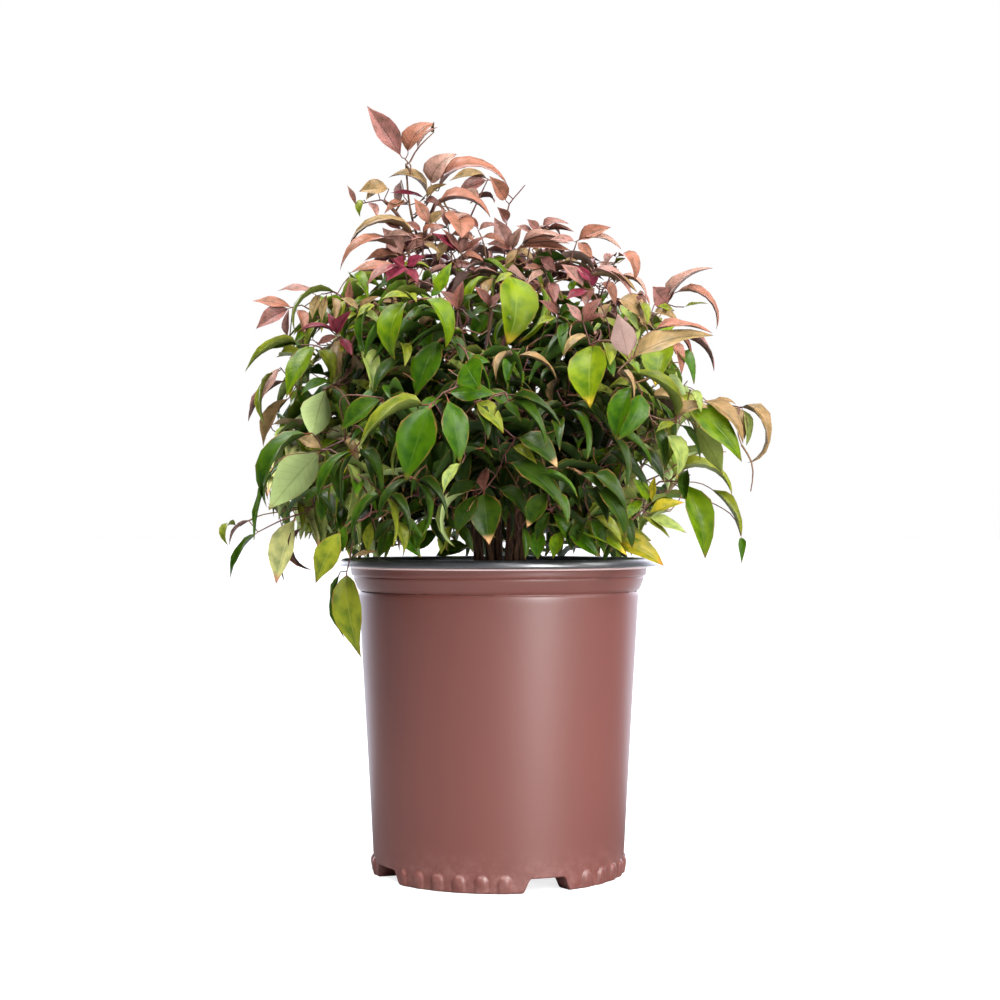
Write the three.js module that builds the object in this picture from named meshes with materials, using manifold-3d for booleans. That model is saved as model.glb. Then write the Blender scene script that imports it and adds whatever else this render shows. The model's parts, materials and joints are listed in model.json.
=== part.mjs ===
// Heavenly bamboo (Nandina) in a nursery pot. Millimetres, +Z up, origin on the ground at the centre
// of the pot's foot. Front is -Y and azimuth 0 is +X, so azimuth 270 is the front.
// A clump of canes stands in the mix. Each cane ends in a mass of foliage, and the leaf stalks that
// branch from it carry the other masses. Two masses that meet are parted by a plane.
import * as THREE from "three";
import { mergeVertices } from "three/addons/utils/BufferGeometryUtils.js";
import Module from "manifold-3d";

const wasm = await Module();
wasm.setup();

// ---- driving dimensions: the pot ----
const POT_HEIGHT = 162.5;
const LIP_RADIUS = 82.5;
const LIP_DEPTH = 4;
const COLLAR_RADIUS = 77.2; // just under the lip
const COLLAR_STEP = 1.3; // the ledge between the collar and the band
const COLLAR_HEIGHT = 9; // from the lip's top down to the ledge
const WALL_TOP_RADIUS = 72.8;
const WALL_FOOT_RADIUS = 64.6;
const BAND_HEIGHT = 18; // from the lip's top down to the groove under the band
const GROOVE_DEPTH = 0.7;
const WALL = 1.2;
const FOOT_ROUND = 2.2;
const BASE_RECESS = 5; // how far the middle of the base stands off the ground
const FOOT_RING = 10; // the width of the ring that the pot stands on
const POT_SIDES = 32;
const POT_COLOUR = 0x7d4b44;
const POT_ROUGHNESS = 0.42;

const NOTCH_TURNS = [22, 118.5, 202, 298.5]; // degrees round from the front
const NOTCH_TOP_WIDTH = 17;
const NOTCH_FOOT_WIDTH = 26;
const NOTCH_HEIGHT = 7;
const NOTCH_DEPTH = 14; // right through the ring
const DRAIN_WIDTH = 9; // a drain hole opens up through the roof of each notch
const DRAIN_LENGTH = 6;

// ---- driving dimensions: the mix, canes and leaf stalks ----
const MIX_TOP = 147;
const MIX_COLOUR = 0x2c211b;
const MIX_ROUGHNESS = 0.95;
const GAP = 0.3; // between pieces that touch
const CANE_FOOT_RADIUS = 2.9;
const CANE_TIP_RADIUS = 1.5;
const CANE_FLARE = 1.35;
const CLUMP_RADIUS = 12;
const CLUMP_WAVE = 0.2; // how unevenly the canes stand round the clump
// Where the outer canes pass, as distances from the pot's axis and heights.
const CANE_PASSES = [
  [14, 185],
  [24, 230],
];
const LEADER_PASSES = [
  [-3, 0, 200],
  [-18, 0, 270],
  [-44, 0, 330],
];
const CANE_COLOUR = 0x5a3a2c;
const STALK_FOOT_RADIUS = 1.5;
const STALK_TIP_RADIUS = 0.9;
const STALK_INTO_MASS = 7;
// Where the stalks of an outer cane leave it, as a share of its length, and their elbows.
const SECTOR_STALKS = {
  skirt: { from: 0.26, elbow: [40, 205] },
  waist: { from: 0.52, elbow: [48, 243] },
};
// The same for the leader, whose elbows are places.
const LEADER_STALKS = {
  crown_back: { from: 0.36, elbow: [-6, 14, 280] },
  crown_right: { from: 0.42, elbow: [10, 0, 290] },
  crown_left: { from: 0.5, elbow: [-24, 2, 300] },
  spire_left: { from: 0.78, elbow: [-52, -2, 341] },
  spire_right: { from: 0.78, elbow: [-34, 0, 347] },
};
const STALK_COLOUR = 0x6b3b30;
const LIMB_ROUGHNESS = 0.7;

// ---- driving dimensions: the foliage ----
const MASS_GAP = 0.7;
const MASS_SEGMENTS = [12, 6]; // round a mass and from its bottom to its top
const UNEVENNESS = 0.13;
const POT_CLEARANCE = 1.5;
const LEAF_ROUGHNESS = 0.5;
const SECTORS = 7; // one cane and one mass of each ring stand in each sector
const FRONT_SECTOR = 295.7; // azimuth of the first sector: the front itself lies between two
const RING_WAVE = 0.03; // how far the masses of a ring differ in reach
const RING_RISE = 3; // and in height
// A ring has its height and how much higher it is at the front, where it clears the lip, its sideways and
// front-to-back radius, how far its middle lies to the right, the half-sizes of a mass outward, sideways
// and upward, and how far its masses are turned round from their sectors.
const RINGS = {
  skirt: { z: 187, lift: 12, rx: 98, ry: 89, lean: 0, size: [37, 52, 35], turn: -4, colour: 0x2f4a22 },
  waist: { z: 233, lift: 0, rx: 100, ry: 92, lean: 5, size: [36, 50, 29], turn: 9, colour: 0x4c6b26 },
  shoulder: { z: 275, lift: 0, rx: 86, ry: 78, lean: -6, size: [37, 44, 27], turn: -3, colour: 0x6e6a35 },
};
// The masses that stand above and outside the rings.
const SPRAYS = {
  crown_right: { at: [40, -8, 320], size: [35, 35, 20], colour: 0x8f6549 },
  crown_left: { at: [-40, -9, 321], size: [39, 34, 25], colour: 0x8f6549 },
  crown_back: { at: [2, 42, 317], size: [35, 38, 20], colour: 0x8f6549 },
  spire_left: { at: [-60, -6, 349], size: [19, 17, 15], colour: 0x86704a },
  spire_right: { at: [-18, 0, 359], size: [26, 18, 16], colour: 0xa0614f },
  spire_tip: { at: [-50, 0, 381], size: [19, 14, 17], colour: 0xb06052 },
  right_sprig: { at: [94, -10, 301], size: [23, 20, 18], colour: 0xb0705c },
  left_tip: { at: [-131, -6, 170], size: [14, 12, 17], colour: 0x5d6b2c },
  hanging_leaf: { at: [-81, -34, 140], size: [9, 12, 29], colour: 0x5d6b2c },
};

const { degToRad, lerp } = THREE.MathUtils;
const vector = (x, y, z) => new THREE.Vector3(x, y, z);
const polar = (azimuth, r, z) => vector(r * Math.cos(azimuth), r * Math.sin(azimuth), z);

// ---- solids: three.js geometry to and from manifold-3d ----

function solidOf(geometry) {
  const bare = geometry.clone();
  bare.deleteAttribute("normal");
  bare.deleteAttribute("uv");
  const merged = mergeVertices(bare, 1e-4);
  return new wasm.Manifold(
    new wasm.Mesh({
      numProp: 3,
      vertProperties: merged.attributes.position.array,
      triVerts: new Uint32Array(merged.index.array),
    }),
  );
}

function geometryOf(solid) {
  const { vertProperties, triVerts, numProp } = solid.getMesh();
  const geometry = new THREE.BufferGeometry();
  geometry.setAttribute("position", new THREE.BufferAttribute(vertProperties, numProp));
  geometry.setIndex(new THREE.BufferAttribute(triVerts, 1));
  geometry.computeVertexNormals();
  return geometry;
}

const without = (solid, cuts) => cuts.reduce((left, cut) => left.subtract(cut), solid);

// Cutting a mass or a stalk can leave crumbs, so only its largest piece is kept.
const largest = (solid) => solid.decompose().sort((a, b) => b.volume() - a.volume())[0];

// A solid of revolution about +Z, from a profile of [radius, height] that starts and ends on the axis.
function turned(profile) {
  const points = profile.map(([r, z]) => new THREE.Vector2(r, z));
  return solidOf(new THREE.LatheGeometry(points, POT_SIDES).rotateX(Math.PI / 2));
}

// Everything below the height z.
function below(z) {
  const size = 4 * POT_HEIGHT;
  return solidOf(new THREE.BoxGeometry(size, size, size).translate(0, 0, z - size / 2));
}

// ---- the pot and its mix ----

const ledgeZ = POT_HEIGHT - COLLAR_HEIGHT;
const grooveZ = POT_HEIGHT - BAND_HEIGHT;
const lipFootZ = POT_HEIGHT - LIP_DEPTH;
const hollowRadius = WALL_FOOT_RADIUS - FOOT_RING; // of the recess under the base

// The wall from the ground up to the collar, moved inwards by "inset".
function wallProfile(inset) {
  return [
    [0, BASE_RECESS + inset],
    [hollowRadius - 2 + inset, BASE_RECESS + inset],
    [hollowRadius + inset, inset],
    [WALL_FOOT_RADIUS - FOOT_ROUND - inset / 2, inset],
    [WALL_FOOT_RADIUS - inset, FOOT_ROUND + inset / 2],
    [WALL_TOP_RADIUS - inset, grooveZ - 2],
    [WALL_TOP_RADIUS - GROOVE_DEPTH - inset, grooveZ],
    [WALL_TOP_RADIUS + COLLAR_STEP - inset, grooveZ + 2.5],
    [COLLAR_RADIUS - COLLAR_STEP - inset, ledgeZ],
    [COLLAR_RADIUS - inset, ledgeZ + 0.6],
  ];
}

function lipProfile(more) {
  return [
    [COLLAR_RADIUS + more, lipFootZ - more],
    [LIP_RADIUS - 0.6 + more, lipFootZ - more],
    [LIP_RADIUS + more, lipFootZ + 0.8],
    [LIP_RADIUS - 0.5 + more, POT_HEIGHT - 1.4],
    [LIP_RADIUS - 2 + more, POT_HEIGHT + more],
    [0, POT_HEIGHT + more],
  ];
}

const wholePot = (more = 0) => turned([...wallProfile(-more), ...lipProfile(more)]);

function cavity(inset) {
  const top = POT_HEIGHT + 1;
  return turned([...wallProfile(inset), [COLLAR_RADIUS - inset, top], [0, top]]);
}

// A notch under the wall with sloping sides, grown by "more" all round.
function notch(turn, more) {
  const foot = NOTCH_FOOT_WIDTH / 2 + more;
  const top = NOTCH_TOP_WIDTH / 2 + more;
  const under = -5;
  const outline = [[-foot, under], [foot, under], [foot, 0], [top, NOTCH_HEIGHT + more]];
  outline.push([-top, NOTCH_HEIGHT + more], [-foot, 0]);
  const shape = new THREE.Shape(outline.map(([x, y]) => new THREE.Vector2(x, y)));
  const prism = new THREE.ExtrudeGeometry(shape, { depth: NOTCH_DEPTH * 2, bevelEnabled: false });
  prism.rotateX(Math.PI / 2).translate(0, -(WALL_FOOT_RADIUS - NOTCH_DEPTH - more), 0);
  return solidOf(prism.rotateZ(degToRad(turn)));
}

function drain(turn) {
  const hole = new THREE.BoxGeometry(DRAIN_WIDTH, DRAIN_LENGTH, 4 * WALL);
  hole.translate(0, -(WALL_FOOT_RADIUS - NOTCH_DEPTH / 2), NOTCH_HEIGHT);
  return solidOf(hole.rotateZ(degToRad(turn)));
}

const notches = (more) => NOTCH_TURNS.map((turn) => notch(turn, more));

function nurseryPot() {
  const outside = without(wholePot(), notches(0));
  const inside = without(cavity(WALL), notches(WALL));
  return without(outside.subtract(inside), NOTCH_TURNS.map(drain));
}

function pottingMix() {
  const inset = WALL + GAP;
  return without(cavity(inset), notches(inset)).intersect(below(MIX_TOP));
}

// ---- masses of foliage ----

const masses = {};
const sectors = Array.from({ length: SECTORS }, (_, i) => i);
const sectorAzimuth = (i) => FRONT_SECTOR + (i * 360) / SECTORS;

for (const [ring, { z, lift, rx, ry, lean, size, turn, colour }] of Object.entries(RINGS)) {
  for (const i of sectors) {
    const azimuth = degToRad(sectorAzimuth(i) + turn);
    const wave = Math.sin(i * 2.4 + z);
    const reach = 1 + RING_WAVE * wave;
    const x = lean + rx * reach * Math.cos(azimuth);
    const y = ry * reach * Math.sin(azimuth);
    const height = z + RING_RISE * wave + lift * Math.max(0, -Math.sin(azimuth));
    masses[`${ring}_${i + 1}`] = { centre: vector(x, y, height), azimuth, size, colour };
  }
}
for (const [name, { at, size, colour }] of Object.entries(SPRAYS)) {
  masses[name] = { centre: vector(...at), azimuth: Math.atan2(at[1], at[0]), size, colour };
}
Object.values(masses).forEach((mass, i) => {
  mass.seed = i + 1;
});

// How far a mass reaches in the direction "way" before its neighbours are heeded.
function ownReach({ size: [outward, sideways, upward], azimuth, seed }, way) {
  const local = way.clone().applyAxisAngle(vector(0, 0, 1), -azimuth);
  const smooth = 1 / Math.hypot(local.x / outward, local.y / sideways, local.z / upward);
  const broad = Math.sin(5 * way.x + seed) * Math.cos(4 * way.y - 2 * seed);
  const fine = Math.sin(7 * way.z + 3 * seed + 3 * way.x);
  return smooth * (1 + UNEVENNESS * (broad + 0.6 * fine));
}

const girth = ({ size: [outward, sideways, upward] }) => Math.cbrt(outward * sideways * upward);

// How far a mass reaches along "way" to the plane that parts it from another. The larger one holds more.
function planeReach(mass, other, way) {
  const apart = other.centre.clone().sub(mass.centre);
  const distance = apart.length();
  const plane = (distance + (girth(mass) ** 2 - girth(other) ** 2) / distance) / 2;
  const towards = way.dot(apart) / distance;
  return towards > 1e-3 ? (plane - MASS_GAP / 2) / towards : Infinity;
}

function reachOf(mass, way) {
  const others = Object.values(masses).filter((other) => other !== mass);
  return Math.min(ownReach(mass, way), ...others.map((other) => planeReach(mass, other, way)));
}

function massSolid(mass) {
  const geometry = new THREE.SphereGeometry(1, ...MASS_SEGMENTS).rotateX(Math.PI / 2);
  const place = geometry.attributes.position;
  for (let i = 0; i < place.count; i++) {
    const way = vector().fromBufferAttribute(place, i).normalize();
    const spot = way.clone().multiplyScalar(reachOf(mass, way)).add(mass.centre);
    place.setXYZ(i, spot.x, spot.y, spot.z);
  }
  return solidOf(geometry);
}

// ---- limbs ----

// A tapering limb along a curve: a cylinder whose rings follow the curve's frames.
function limbSolid({ path, footRadius, tipRadius, flare, sides, rings }, more = 0) {
  const { normals, binormals, tangents } = path.computeFrenetFrames(rings);
  const geometry = new THREE.CylinderGeometry(1, 1, 1, sides, rings);
  const place = geometry.attributes.position;
  for (let i = 0; i < place.count; i++) {
    const t = place.getY(i) + 0.5;
    const ring = Math.round(t * rings);
    const swell = lerp(flare, 1, Math.min(1, t * rings));
    const radius = lerp(footRadius, tipRadius, t) * swell + more;
    const spot = path
      .getPointAt(t)
      .addScaledVector(normals[ring], place.getX(i) * radius)
      .addScaledVector(binormals[ring], -place.getZ(i) * radius)
      .addScaledVector(tangents[ring], more * (2 * t - 1));
    place.setXYZ(i, spot.x, spot.y, spot.z);
  }
  return solidOf(geometry);
}

// The last point of a limb that comes from "from": a little way inside the mass that it carries.
function tipIn(mass, from) {
  const back = from.clone().sub(mass.centre).normalize();
  return back.clone().multiplyScalar(reachOf(mass, back) - STALK_INTO_MASS).add(mass.centre);
}

const limbs = {};

const CANE = {
  footRadius: CANE_FOOT_RADIUS,
  tipRadius: CANE_TIP_RADIUS,
  flare: CANE_FLARE,
  sides: 7,
  rings: 6,
  colour: CANE_COLOUR,
};
const STALK = {
  footRadius: STALK_FOOT_RADIUS,
  tipRadius: STALK_TIP_RADIUS,
  flare: 1,
  sides: 5,
  rings: 4,
  colour: STALK_COLOUR,
};

// A cane starts a little under the mix's top, where it is cut off flat.
function addCane(name, foot, passes, massName) {
  const root = foot.setZ(MIX_TOP - CANE_FOOT_RADIUS);
  const tip = tipIn(masses[massName], passes.at(-1));
  limbs[name] = { ...CANE, path: new THREE.CatmullRomCurve3([root, ...passes, tip]) };
}

function addStalk(massName, cane, from, elbow) {
  const root = limbs[cane].path.getPointAt(from);
  const tip = tipIn(masses[massName], elbow);
  limbs[`stalk_${massName}`] = { ...STALK, cane, path: new THREE.CatmullRomCurve3([root, elbow, tip]) };
}

for (const i of sectors) {
  const azimuth = degToRad(sectorAzimuth(i));
  const cane = `cane_${i + 1}`;
  const standOff = CLUMP_RADIUS * (1 - CLUMP_WAVE * (1 - Math.sin(i * 1.9)));
  const passes = CANE_PASSES.map((pass) => polar(azimuth, ...pass));
  addCane(cane, polar(azimuth, standOff, 0), passes, `shoulder_${i + 1}`);
  for (const [ring, { from, elbow }] of Object.entries(SECTOR_STALKS)) {
    addStalk(`${ring}_${i + 1}`, cane, from, polar(azimuth, ...elbow));
  }
}
const leader = `cane_${SECTORS + 1}`;
const leaderPasses = LEADER_PASSES.map((pass) => vector(...pass));
addCane(leader, vector(0, 0, 0), leaderPasses, "spire_tip");
for (const [mass, { from, elbow }] of Object.entries(LEADER_STALKS)) {
  addStalk(mass, leader, from, vector(...elbow));
}

// ---- the assembly ----

const group = new THREE.Group();

function add(name, solid, colour, roughness) {
  const material = new THREE.MeshStandardMaterial({ color: colour, roughness, metalness: 0 });
  const mesh = new THREE.Mesh(geometryOf(solid), material);
  mesh.name = name;
  group.add(mesh);
}

add("nursery_pot", nurseryPot(), POT_COLOUR, POT_ROUGHNESS);
add("potting_mix", pottingMix(), MIX_COLOUR, MIX_ROUGHNESS);

const mixCut = below(MIX_TOP + GAP);
for (const [name, limb] of Object.entries(limbs)) {
  const cut = limb.cane ? limbSolid(limbs[limb.cane], GAP) : mixCut;
  add(name, largest(limbSolid(limb).subtract(cut)), limb.colour, LIMB_ROUGHNESS);
}

const grownLimbs = Object.values(limbs).map((limb) => limbSolid(limb, GAP));
const potRoom = wholePot(POT_CLEARANCE);
for (const [name, mass] of Object.entries(masses)) {
  const solid = without(massSolid(mass), [potRoom, ...grownLimbs]);
  add(name, largest(solid), mass.colour, LEAF_ROUGHNESS);
}

export default group;
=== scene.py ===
# %% [markdown]
# # Heavenly bamboo in a nursery pot
#
# A young Nandina, as a garden centre sells it: a clump of thin canes in a brown plastic pot, each
# cane carrying compound leaves whose leaflets arch over and hang by long pointed tips. New growth
# at the top is copper, coral and crimson, and the leaves turn lime, then dark green, further down.
#
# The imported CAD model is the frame. It gives the place and size of the pot, the mix, every cane,
# every main leaf stalk and every mass of foliage. This script dresses that frame: each solid is
# replaced by what really grows or stands there, inside the space the solid holds.

import colorsys
import json
import math
import random

import bmesh
import bpy
import numpy as np
from mathutils import Matrix, Quaternion, Vector
from mathutils.bvhtree import BVHTree
from mathutils.geometry import interpolate_bezier

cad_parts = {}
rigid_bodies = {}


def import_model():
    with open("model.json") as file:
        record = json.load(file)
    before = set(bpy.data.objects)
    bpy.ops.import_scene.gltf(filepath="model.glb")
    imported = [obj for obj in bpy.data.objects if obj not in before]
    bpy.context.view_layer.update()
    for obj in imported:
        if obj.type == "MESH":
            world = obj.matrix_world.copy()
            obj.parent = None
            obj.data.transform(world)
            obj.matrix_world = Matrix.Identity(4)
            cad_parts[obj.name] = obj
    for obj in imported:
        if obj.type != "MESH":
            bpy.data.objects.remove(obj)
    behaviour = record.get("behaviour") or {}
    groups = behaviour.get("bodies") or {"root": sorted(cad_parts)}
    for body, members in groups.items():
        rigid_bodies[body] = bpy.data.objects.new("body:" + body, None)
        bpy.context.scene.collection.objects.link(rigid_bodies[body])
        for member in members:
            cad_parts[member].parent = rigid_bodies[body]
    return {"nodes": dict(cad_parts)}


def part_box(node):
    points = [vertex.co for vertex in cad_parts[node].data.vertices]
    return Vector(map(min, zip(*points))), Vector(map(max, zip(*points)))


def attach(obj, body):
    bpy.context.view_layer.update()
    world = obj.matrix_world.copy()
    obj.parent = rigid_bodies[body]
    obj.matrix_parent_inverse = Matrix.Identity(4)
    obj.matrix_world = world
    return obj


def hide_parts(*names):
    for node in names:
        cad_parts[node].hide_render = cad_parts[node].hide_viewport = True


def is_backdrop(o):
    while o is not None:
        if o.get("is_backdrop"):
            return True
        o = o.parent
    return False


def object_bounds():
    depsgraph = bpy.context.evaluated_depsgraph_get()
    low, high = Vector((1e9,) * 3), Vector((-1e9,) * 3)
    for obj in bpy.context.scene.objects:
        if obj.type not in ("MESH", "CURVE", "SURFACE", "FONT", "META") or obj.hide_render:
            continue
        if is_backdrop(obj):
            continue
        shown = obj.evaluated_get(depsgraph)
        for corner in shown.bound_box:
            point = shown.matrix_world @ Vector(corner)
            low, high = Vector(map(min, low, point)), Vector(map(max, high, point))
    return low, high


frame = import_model()
cad_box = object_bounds()
MM = 0.001
print(len(frame["nodes"]), "nodes, box", [round(v / MM) for corner in cad_box for v in corner])

# %% [markdown]
# ## Writing nodes as expressions
#
# Materials and Geometry Nodes are trees of small boxes joined by wires. Written out box by box a
# tree is hard to read, so one class wraps a wire and lets Python's own signs add the Math nodes:
# `1 - mask * 0.4` makes two of them. Everything else comes from one call, `add`, which takes the
# kind of node, its settings and what goes into its sockets.

# %% Wires and trees


class Wire:
    """The output of a node. Arithmetic on it adds Math nodes to its tree."""

    def __init__(self, tree, node, out=0):
        self.tree, self.node, self.socket = tree, node, node.outputs[out]

    def __getitem__(self, out):
        return Wire(self.tree, self.node, out)

    def __add__(self, other):
        return self.tree.math("ADD", self, other)

    def __sub__(self, other):
        return self.tree.math("SUBTRACT", self, other)

    def __rsub__(self, other):
        return self.tree.math("SUBTRACT", other, self)

    def __mul__(self, other):
        return self.tree.math("MULTIPLY", self, other)

    def __truediv__(self, other):
        return self.tree.math("DIVIDE", self, other)

    def __pow__(self, other):
        return self.tree.math("POWER", self, other)

    __radd__, __rmul__ = __add__, __mul__


class Tree:
    """A node tree that is filled by calls."""

    def __init__(self, nodes):
        self.nodes = nodes

    def add(self, kind, settings=None, inputs=None):
        node = self.nodes.nodes.new(kind)
        for name, value in (settings or {}).items():
            if name == "stops":
                self.set_stops(node.color_ramp.elements, value)
            else:
                setattr(node, name, value)
        for name, value in (inputs or {}).items():
            self.plug(value, node.inputs[name])
        return Wire(self, node) if node.outputs else node

    def plug(self, value, socket):
        if isinstance(value, Wire):
            self.nodes.links.new(value.socket, socket)
        else:
            socket.default_value = value

    @staticmethod
    def set_stops(elements, stops):
        while len(elements) < len(stops):
            elements.new(0.5)
        for element, (place, colour) in zip(elements, stops):
            element.position, element.color = place, colour

    def math(self, operation, *values):
        return self.add("ShaderNodeMath", {"operation": operation}, dict(enumerate(values)))

    def mix(self, share, a, b):
        """Colour a where share is 0 and colour b where it is 1."""
        return self.add("ShaderNodeMix", {"data_type": "RGBA"}, {0: share, 6: a, 7: b})[2]

    def ramp(self, value, low, high):
        """0 below low, 1 above high, and a smooth rise between them."""
        settings = {"interpolation_type": "SMOOTHSTEP"}
        return self.add("ShaderNodeMapRange", settings, {0: value, 1: low, 2: high})

    def noise(self, place, scale, detail, roughness=0.5):
        inputs = {"Vector": place, "Scale": scale, "Detail": detail, "Roughness": roughness}
        return self.add("ShaderNodeTexNoise", None, inputs)

    def place(self):
        return self.add("ShaderNodeTexCoord")["Object"]


def srgb(red, green, blue):
    """A colour given as on a screen, from 0 to 255, as the linear numbers that a shader takes."""
    linear = [((c / 255 + 0.055) / 1.055) ** 2.4 if c > 10 else c / 255 / 12.92 for c in (red, green, blue)]
    return (*linear, 1.0)


def finish_of(name, **constants):
    """A new material: its tree and its Principled shader, with the constant sockets set."""
    material = bpy.data.materials.new(name)
    material.use_nodes = True
    shader = material.node_tree.nodes["Principled BSDF"]
    for socket, value in constants.items():
        shader.inputs[socket.replace("_", " ")].default_value = value
    return material, Tree(material.node_tree), shader


def emboss(tree, shader, height, strength, distance):
    """Lets a height pattern bump the surface."""
    inputs = {"Strength": strength, "Distance": distance, "Height": height}
    tree.plug(tree.add("ShaderNodeBump", None, inputs), shader.inputs["Normal"])


# %% [markdown]
# ## Running a Geometry Nodes tree
#
# What repeats or follows a line is made by Geometry Nodes: tubes along twigs, leaves on their
# joints, bark chips on the mix. A helper puts a tree on an object, sets its inputs by their
# identifiers, and keeps the evaluated result as a plain mesh whose object sits at the origin.

# %% Geometry Nodes helpers


def new_growth_tree(name, **inputs):
    """A Geometry Nodes tree with the named inputs, and the wire of each."""
    group = bpy.data.node_groups.new(name, "GeometryNodeTree")
    group.interface.new_socket("Geometry", in_out="INPUT", socket_type="NodeSocketGeometry")
    for socket, kind in inputs.items():
        group.interface.new_socket(socket, in_out="INPUT", socket_type="NodeSocket" + kind)
    group.interface.new_socket("Geometry", in_out="OUTPUT", socket_type="NodeSocketGeometry")
    tree = Tree(group)
    return group, tree, tree.add("NodeGroupInput")


def end_growth_tree(tree, geometry, material):
    """Ends a tree in Realize Instances and Set Material."""
    real = tree.add("GeometryNodeRealizeInstances", None, {"Geometry": geometry})
    painted = tree.add("GeometryNodeSetMaterial", None, {"Geometry": real, "Material": material})
    tree.add("NodeGroupOutput", None, {"Geometry": painted})


def link(name, mesh):
    piece = bpy.data.objects.new(name, mesh)
    bpy.context.scene.collection.objects.link(piece)
    return piece


def grown(name, source, group, **sizes):
    """Runs the tree on the source object and keeps what it makes as a plain mesh piece."""
    modifier = source.modifiers.new("growth", "NODES")
    modifier.node_group = group
    for item in group.interface.items_tree:
        if item.in_out == "INPUT" and item.name in sizes:
            modifier[item.identifier] = sizes[item.name]
    depsgraph = bpy.context.evaluated_depsgraph_get()
    mesh = bpy.data.meshes.new_from_object(source.evaluated_get(depsgraph), depsgraph=depsgraph)
    bpy.data.objects.remove(source)
    mesh.name = name
    return link(name, mesh)


def count_triangles(piece):
    piece.data.calc_loop_triangles()
    return len(piece.data.loop_triangles)


# %% [markdown]
# ## Camera and studio
#
# The camera stands a little above the pot's rim, a little under a metre away, and looks almost
# level. The studio has a pale floor and a lit white wall behind, which glows along both edges of the
# pot. A tall soft light at the right of the camera draws the upright shine on the pot, a wide one
# hangs overhead for the tops of the leaves, and one stands high at each side. The left front gets
# only a weak light, so that the pot looks round.

# %% Camera
CAMERA_PLACE = Vector((0.0007, -0.95, 0.1775))
CAMERA_AIM = Vector((0.0007, 0.0, 0.1928))
LENS = 65.4  # on a 36 mm wide sensor
SENSOR = 36.0

camera_data = bpy.data.cameras.new("camera")
camera_data.lens, camera_data.sensor_width = LENS, SENSOR
camera = link("camera", camera_data)
camera.location = CAMERA_PLACE
camera.rotation_mode = "QUATERNION"
camera.rotation_quaternion = (CAMERA_AIM - CAMERA_PLACE).to_track_quat("-Z", "Y")
bpy.context.scene.camera = camera
bpy.context.scene.view_settings.view_transform = "Standard"

FOCAL = LENS / SENSOR * 1000  # in picture columns, for a picture 1000 wide


def seen(column, row, depth):
    """The place at a depth, in mm behind the pot's axis, that the camera shows at a column and row."""
    way = camera.rotation_quaternion @ Vector(((column - 500) / FOCAL, (500 - row) / FOCAL, -1))
    return CAMERA_PLACE + way * ((depth * MM - CAMERA_PLACE.y) / way.y)


def spot_of(place):
    """The column and row at which the camera shows a place."""
    p = camera.rotation_quaternion.inverted() @ (place - CAMERA_PLACE)
    return 500 - FOCAL * p.x / p.z, 500 + FOCAL * p.y / p.z


# %% Floor, surround and lights
FLOOR_HALF = 30.0
SURROUND_LIGHT, BACK_WALL_LIGHT = 0.27, 1.7
WALL_EDGE, WALL_FULL = 0.66, 0.84  # how squarely a ray must point back to meet the wall
WALL_MIRROR_GAIN, SURROUND_MIRROR_LOSS = 1.4, 0.7  # what the gloss of the pot sees of each
# The gloss also sees a glow low down behind the plant, in a wedge that widens away from it.
LOW_GLOW = (1.9, 2.0, 2.3, 1)
WEDGE_SLOPE, WEDGE_FADE = 0.85, 0.12

corners = [(sx * FLOOR_HALF, sy * FLOOR_HALF, 0) for sx, sy in ((-1, -1), (1, -1), (1, 1), (-1, 1))]
floor_mesh = bpy.data.meshes.new("studio_floor")
floor_mesh.from_pydata(corners, [], [(0, 1, 2, 3)])
floor = link("studio_floor", floor_mesh)
floor_paint, tree, shader = finish_of("floor_paint", Roughness=0.9, Emission_Strength=0.8)
mottle = tree.add("ShaderNodeTexNoise", None, {"Scale": 3.0, "Detail": 2.0})
paths = tree.add("ShaderNodeLightPath")
paper = tree.mix(mottle, srgb(186, 186, 186), srgb(192, 192, 192))
tree.plug(tree.mix(paths["Is Glossy Ray"], paper, srgb(96, 96, 96)), shader.inputs["Base Color"])
spot = tree.add("ShaderNodeSeparateXYZ", None, {0: tree.place()})
behind = tree.ramp(spot["Y"] - tree.math("ABSOLUTE", spot["X"]) * WEDGE_SLOPE, 0.0, WEDGE_FADE)
mirror_glow = tree.mix(behind * paths["Is Glossy Ray"], (0, 0, 0, 1), LOW_GLOW)
tree.plug(tree.mix(paths["Is Camera Ray"], mirror_glow, (1, 1, 1, 1)), shader.inputs["Emission Color"])
floor_mesh.materials.append(floor_paint)
floor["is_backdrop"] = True

world = bpy.data.worlds.new("studio")
bpy.context.scene.world = world
world.use_nodes = True
sky = Tree(world.node_tree)
paths = sky.add("ShaderNodeLightPath")
direct, mirrored = paths["Is Camera Ray"], paths["Is Glossy Ray"]
towards_back = sky.add("ShaderNodeSeparateXYZ", None, {0: sky.add("ShaderNodeTexCoord")["Generated"]})["Y"]
wall = sky.ramp(towards_back, WALL_EDGE, WALL_FULL)
glow = wall * (1 + mirrored * WALL_MIRROR_GAIN) * BACK_WALL_LIGHT
glow = glow + SURROUND_LIGHT * (1 - mirrored * SURROUND_MIRROR_LOSS)
background = world.node_tree.nodes["Background"]
sky.plug(glow + direct * (1 - glow), background.inputs["Strength"])
sky.plug(sky.mix(direct, (0.92, 0.94, 1.1, 1), (1, 1, 1, 1)), background.inputs["Color"])


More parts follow.
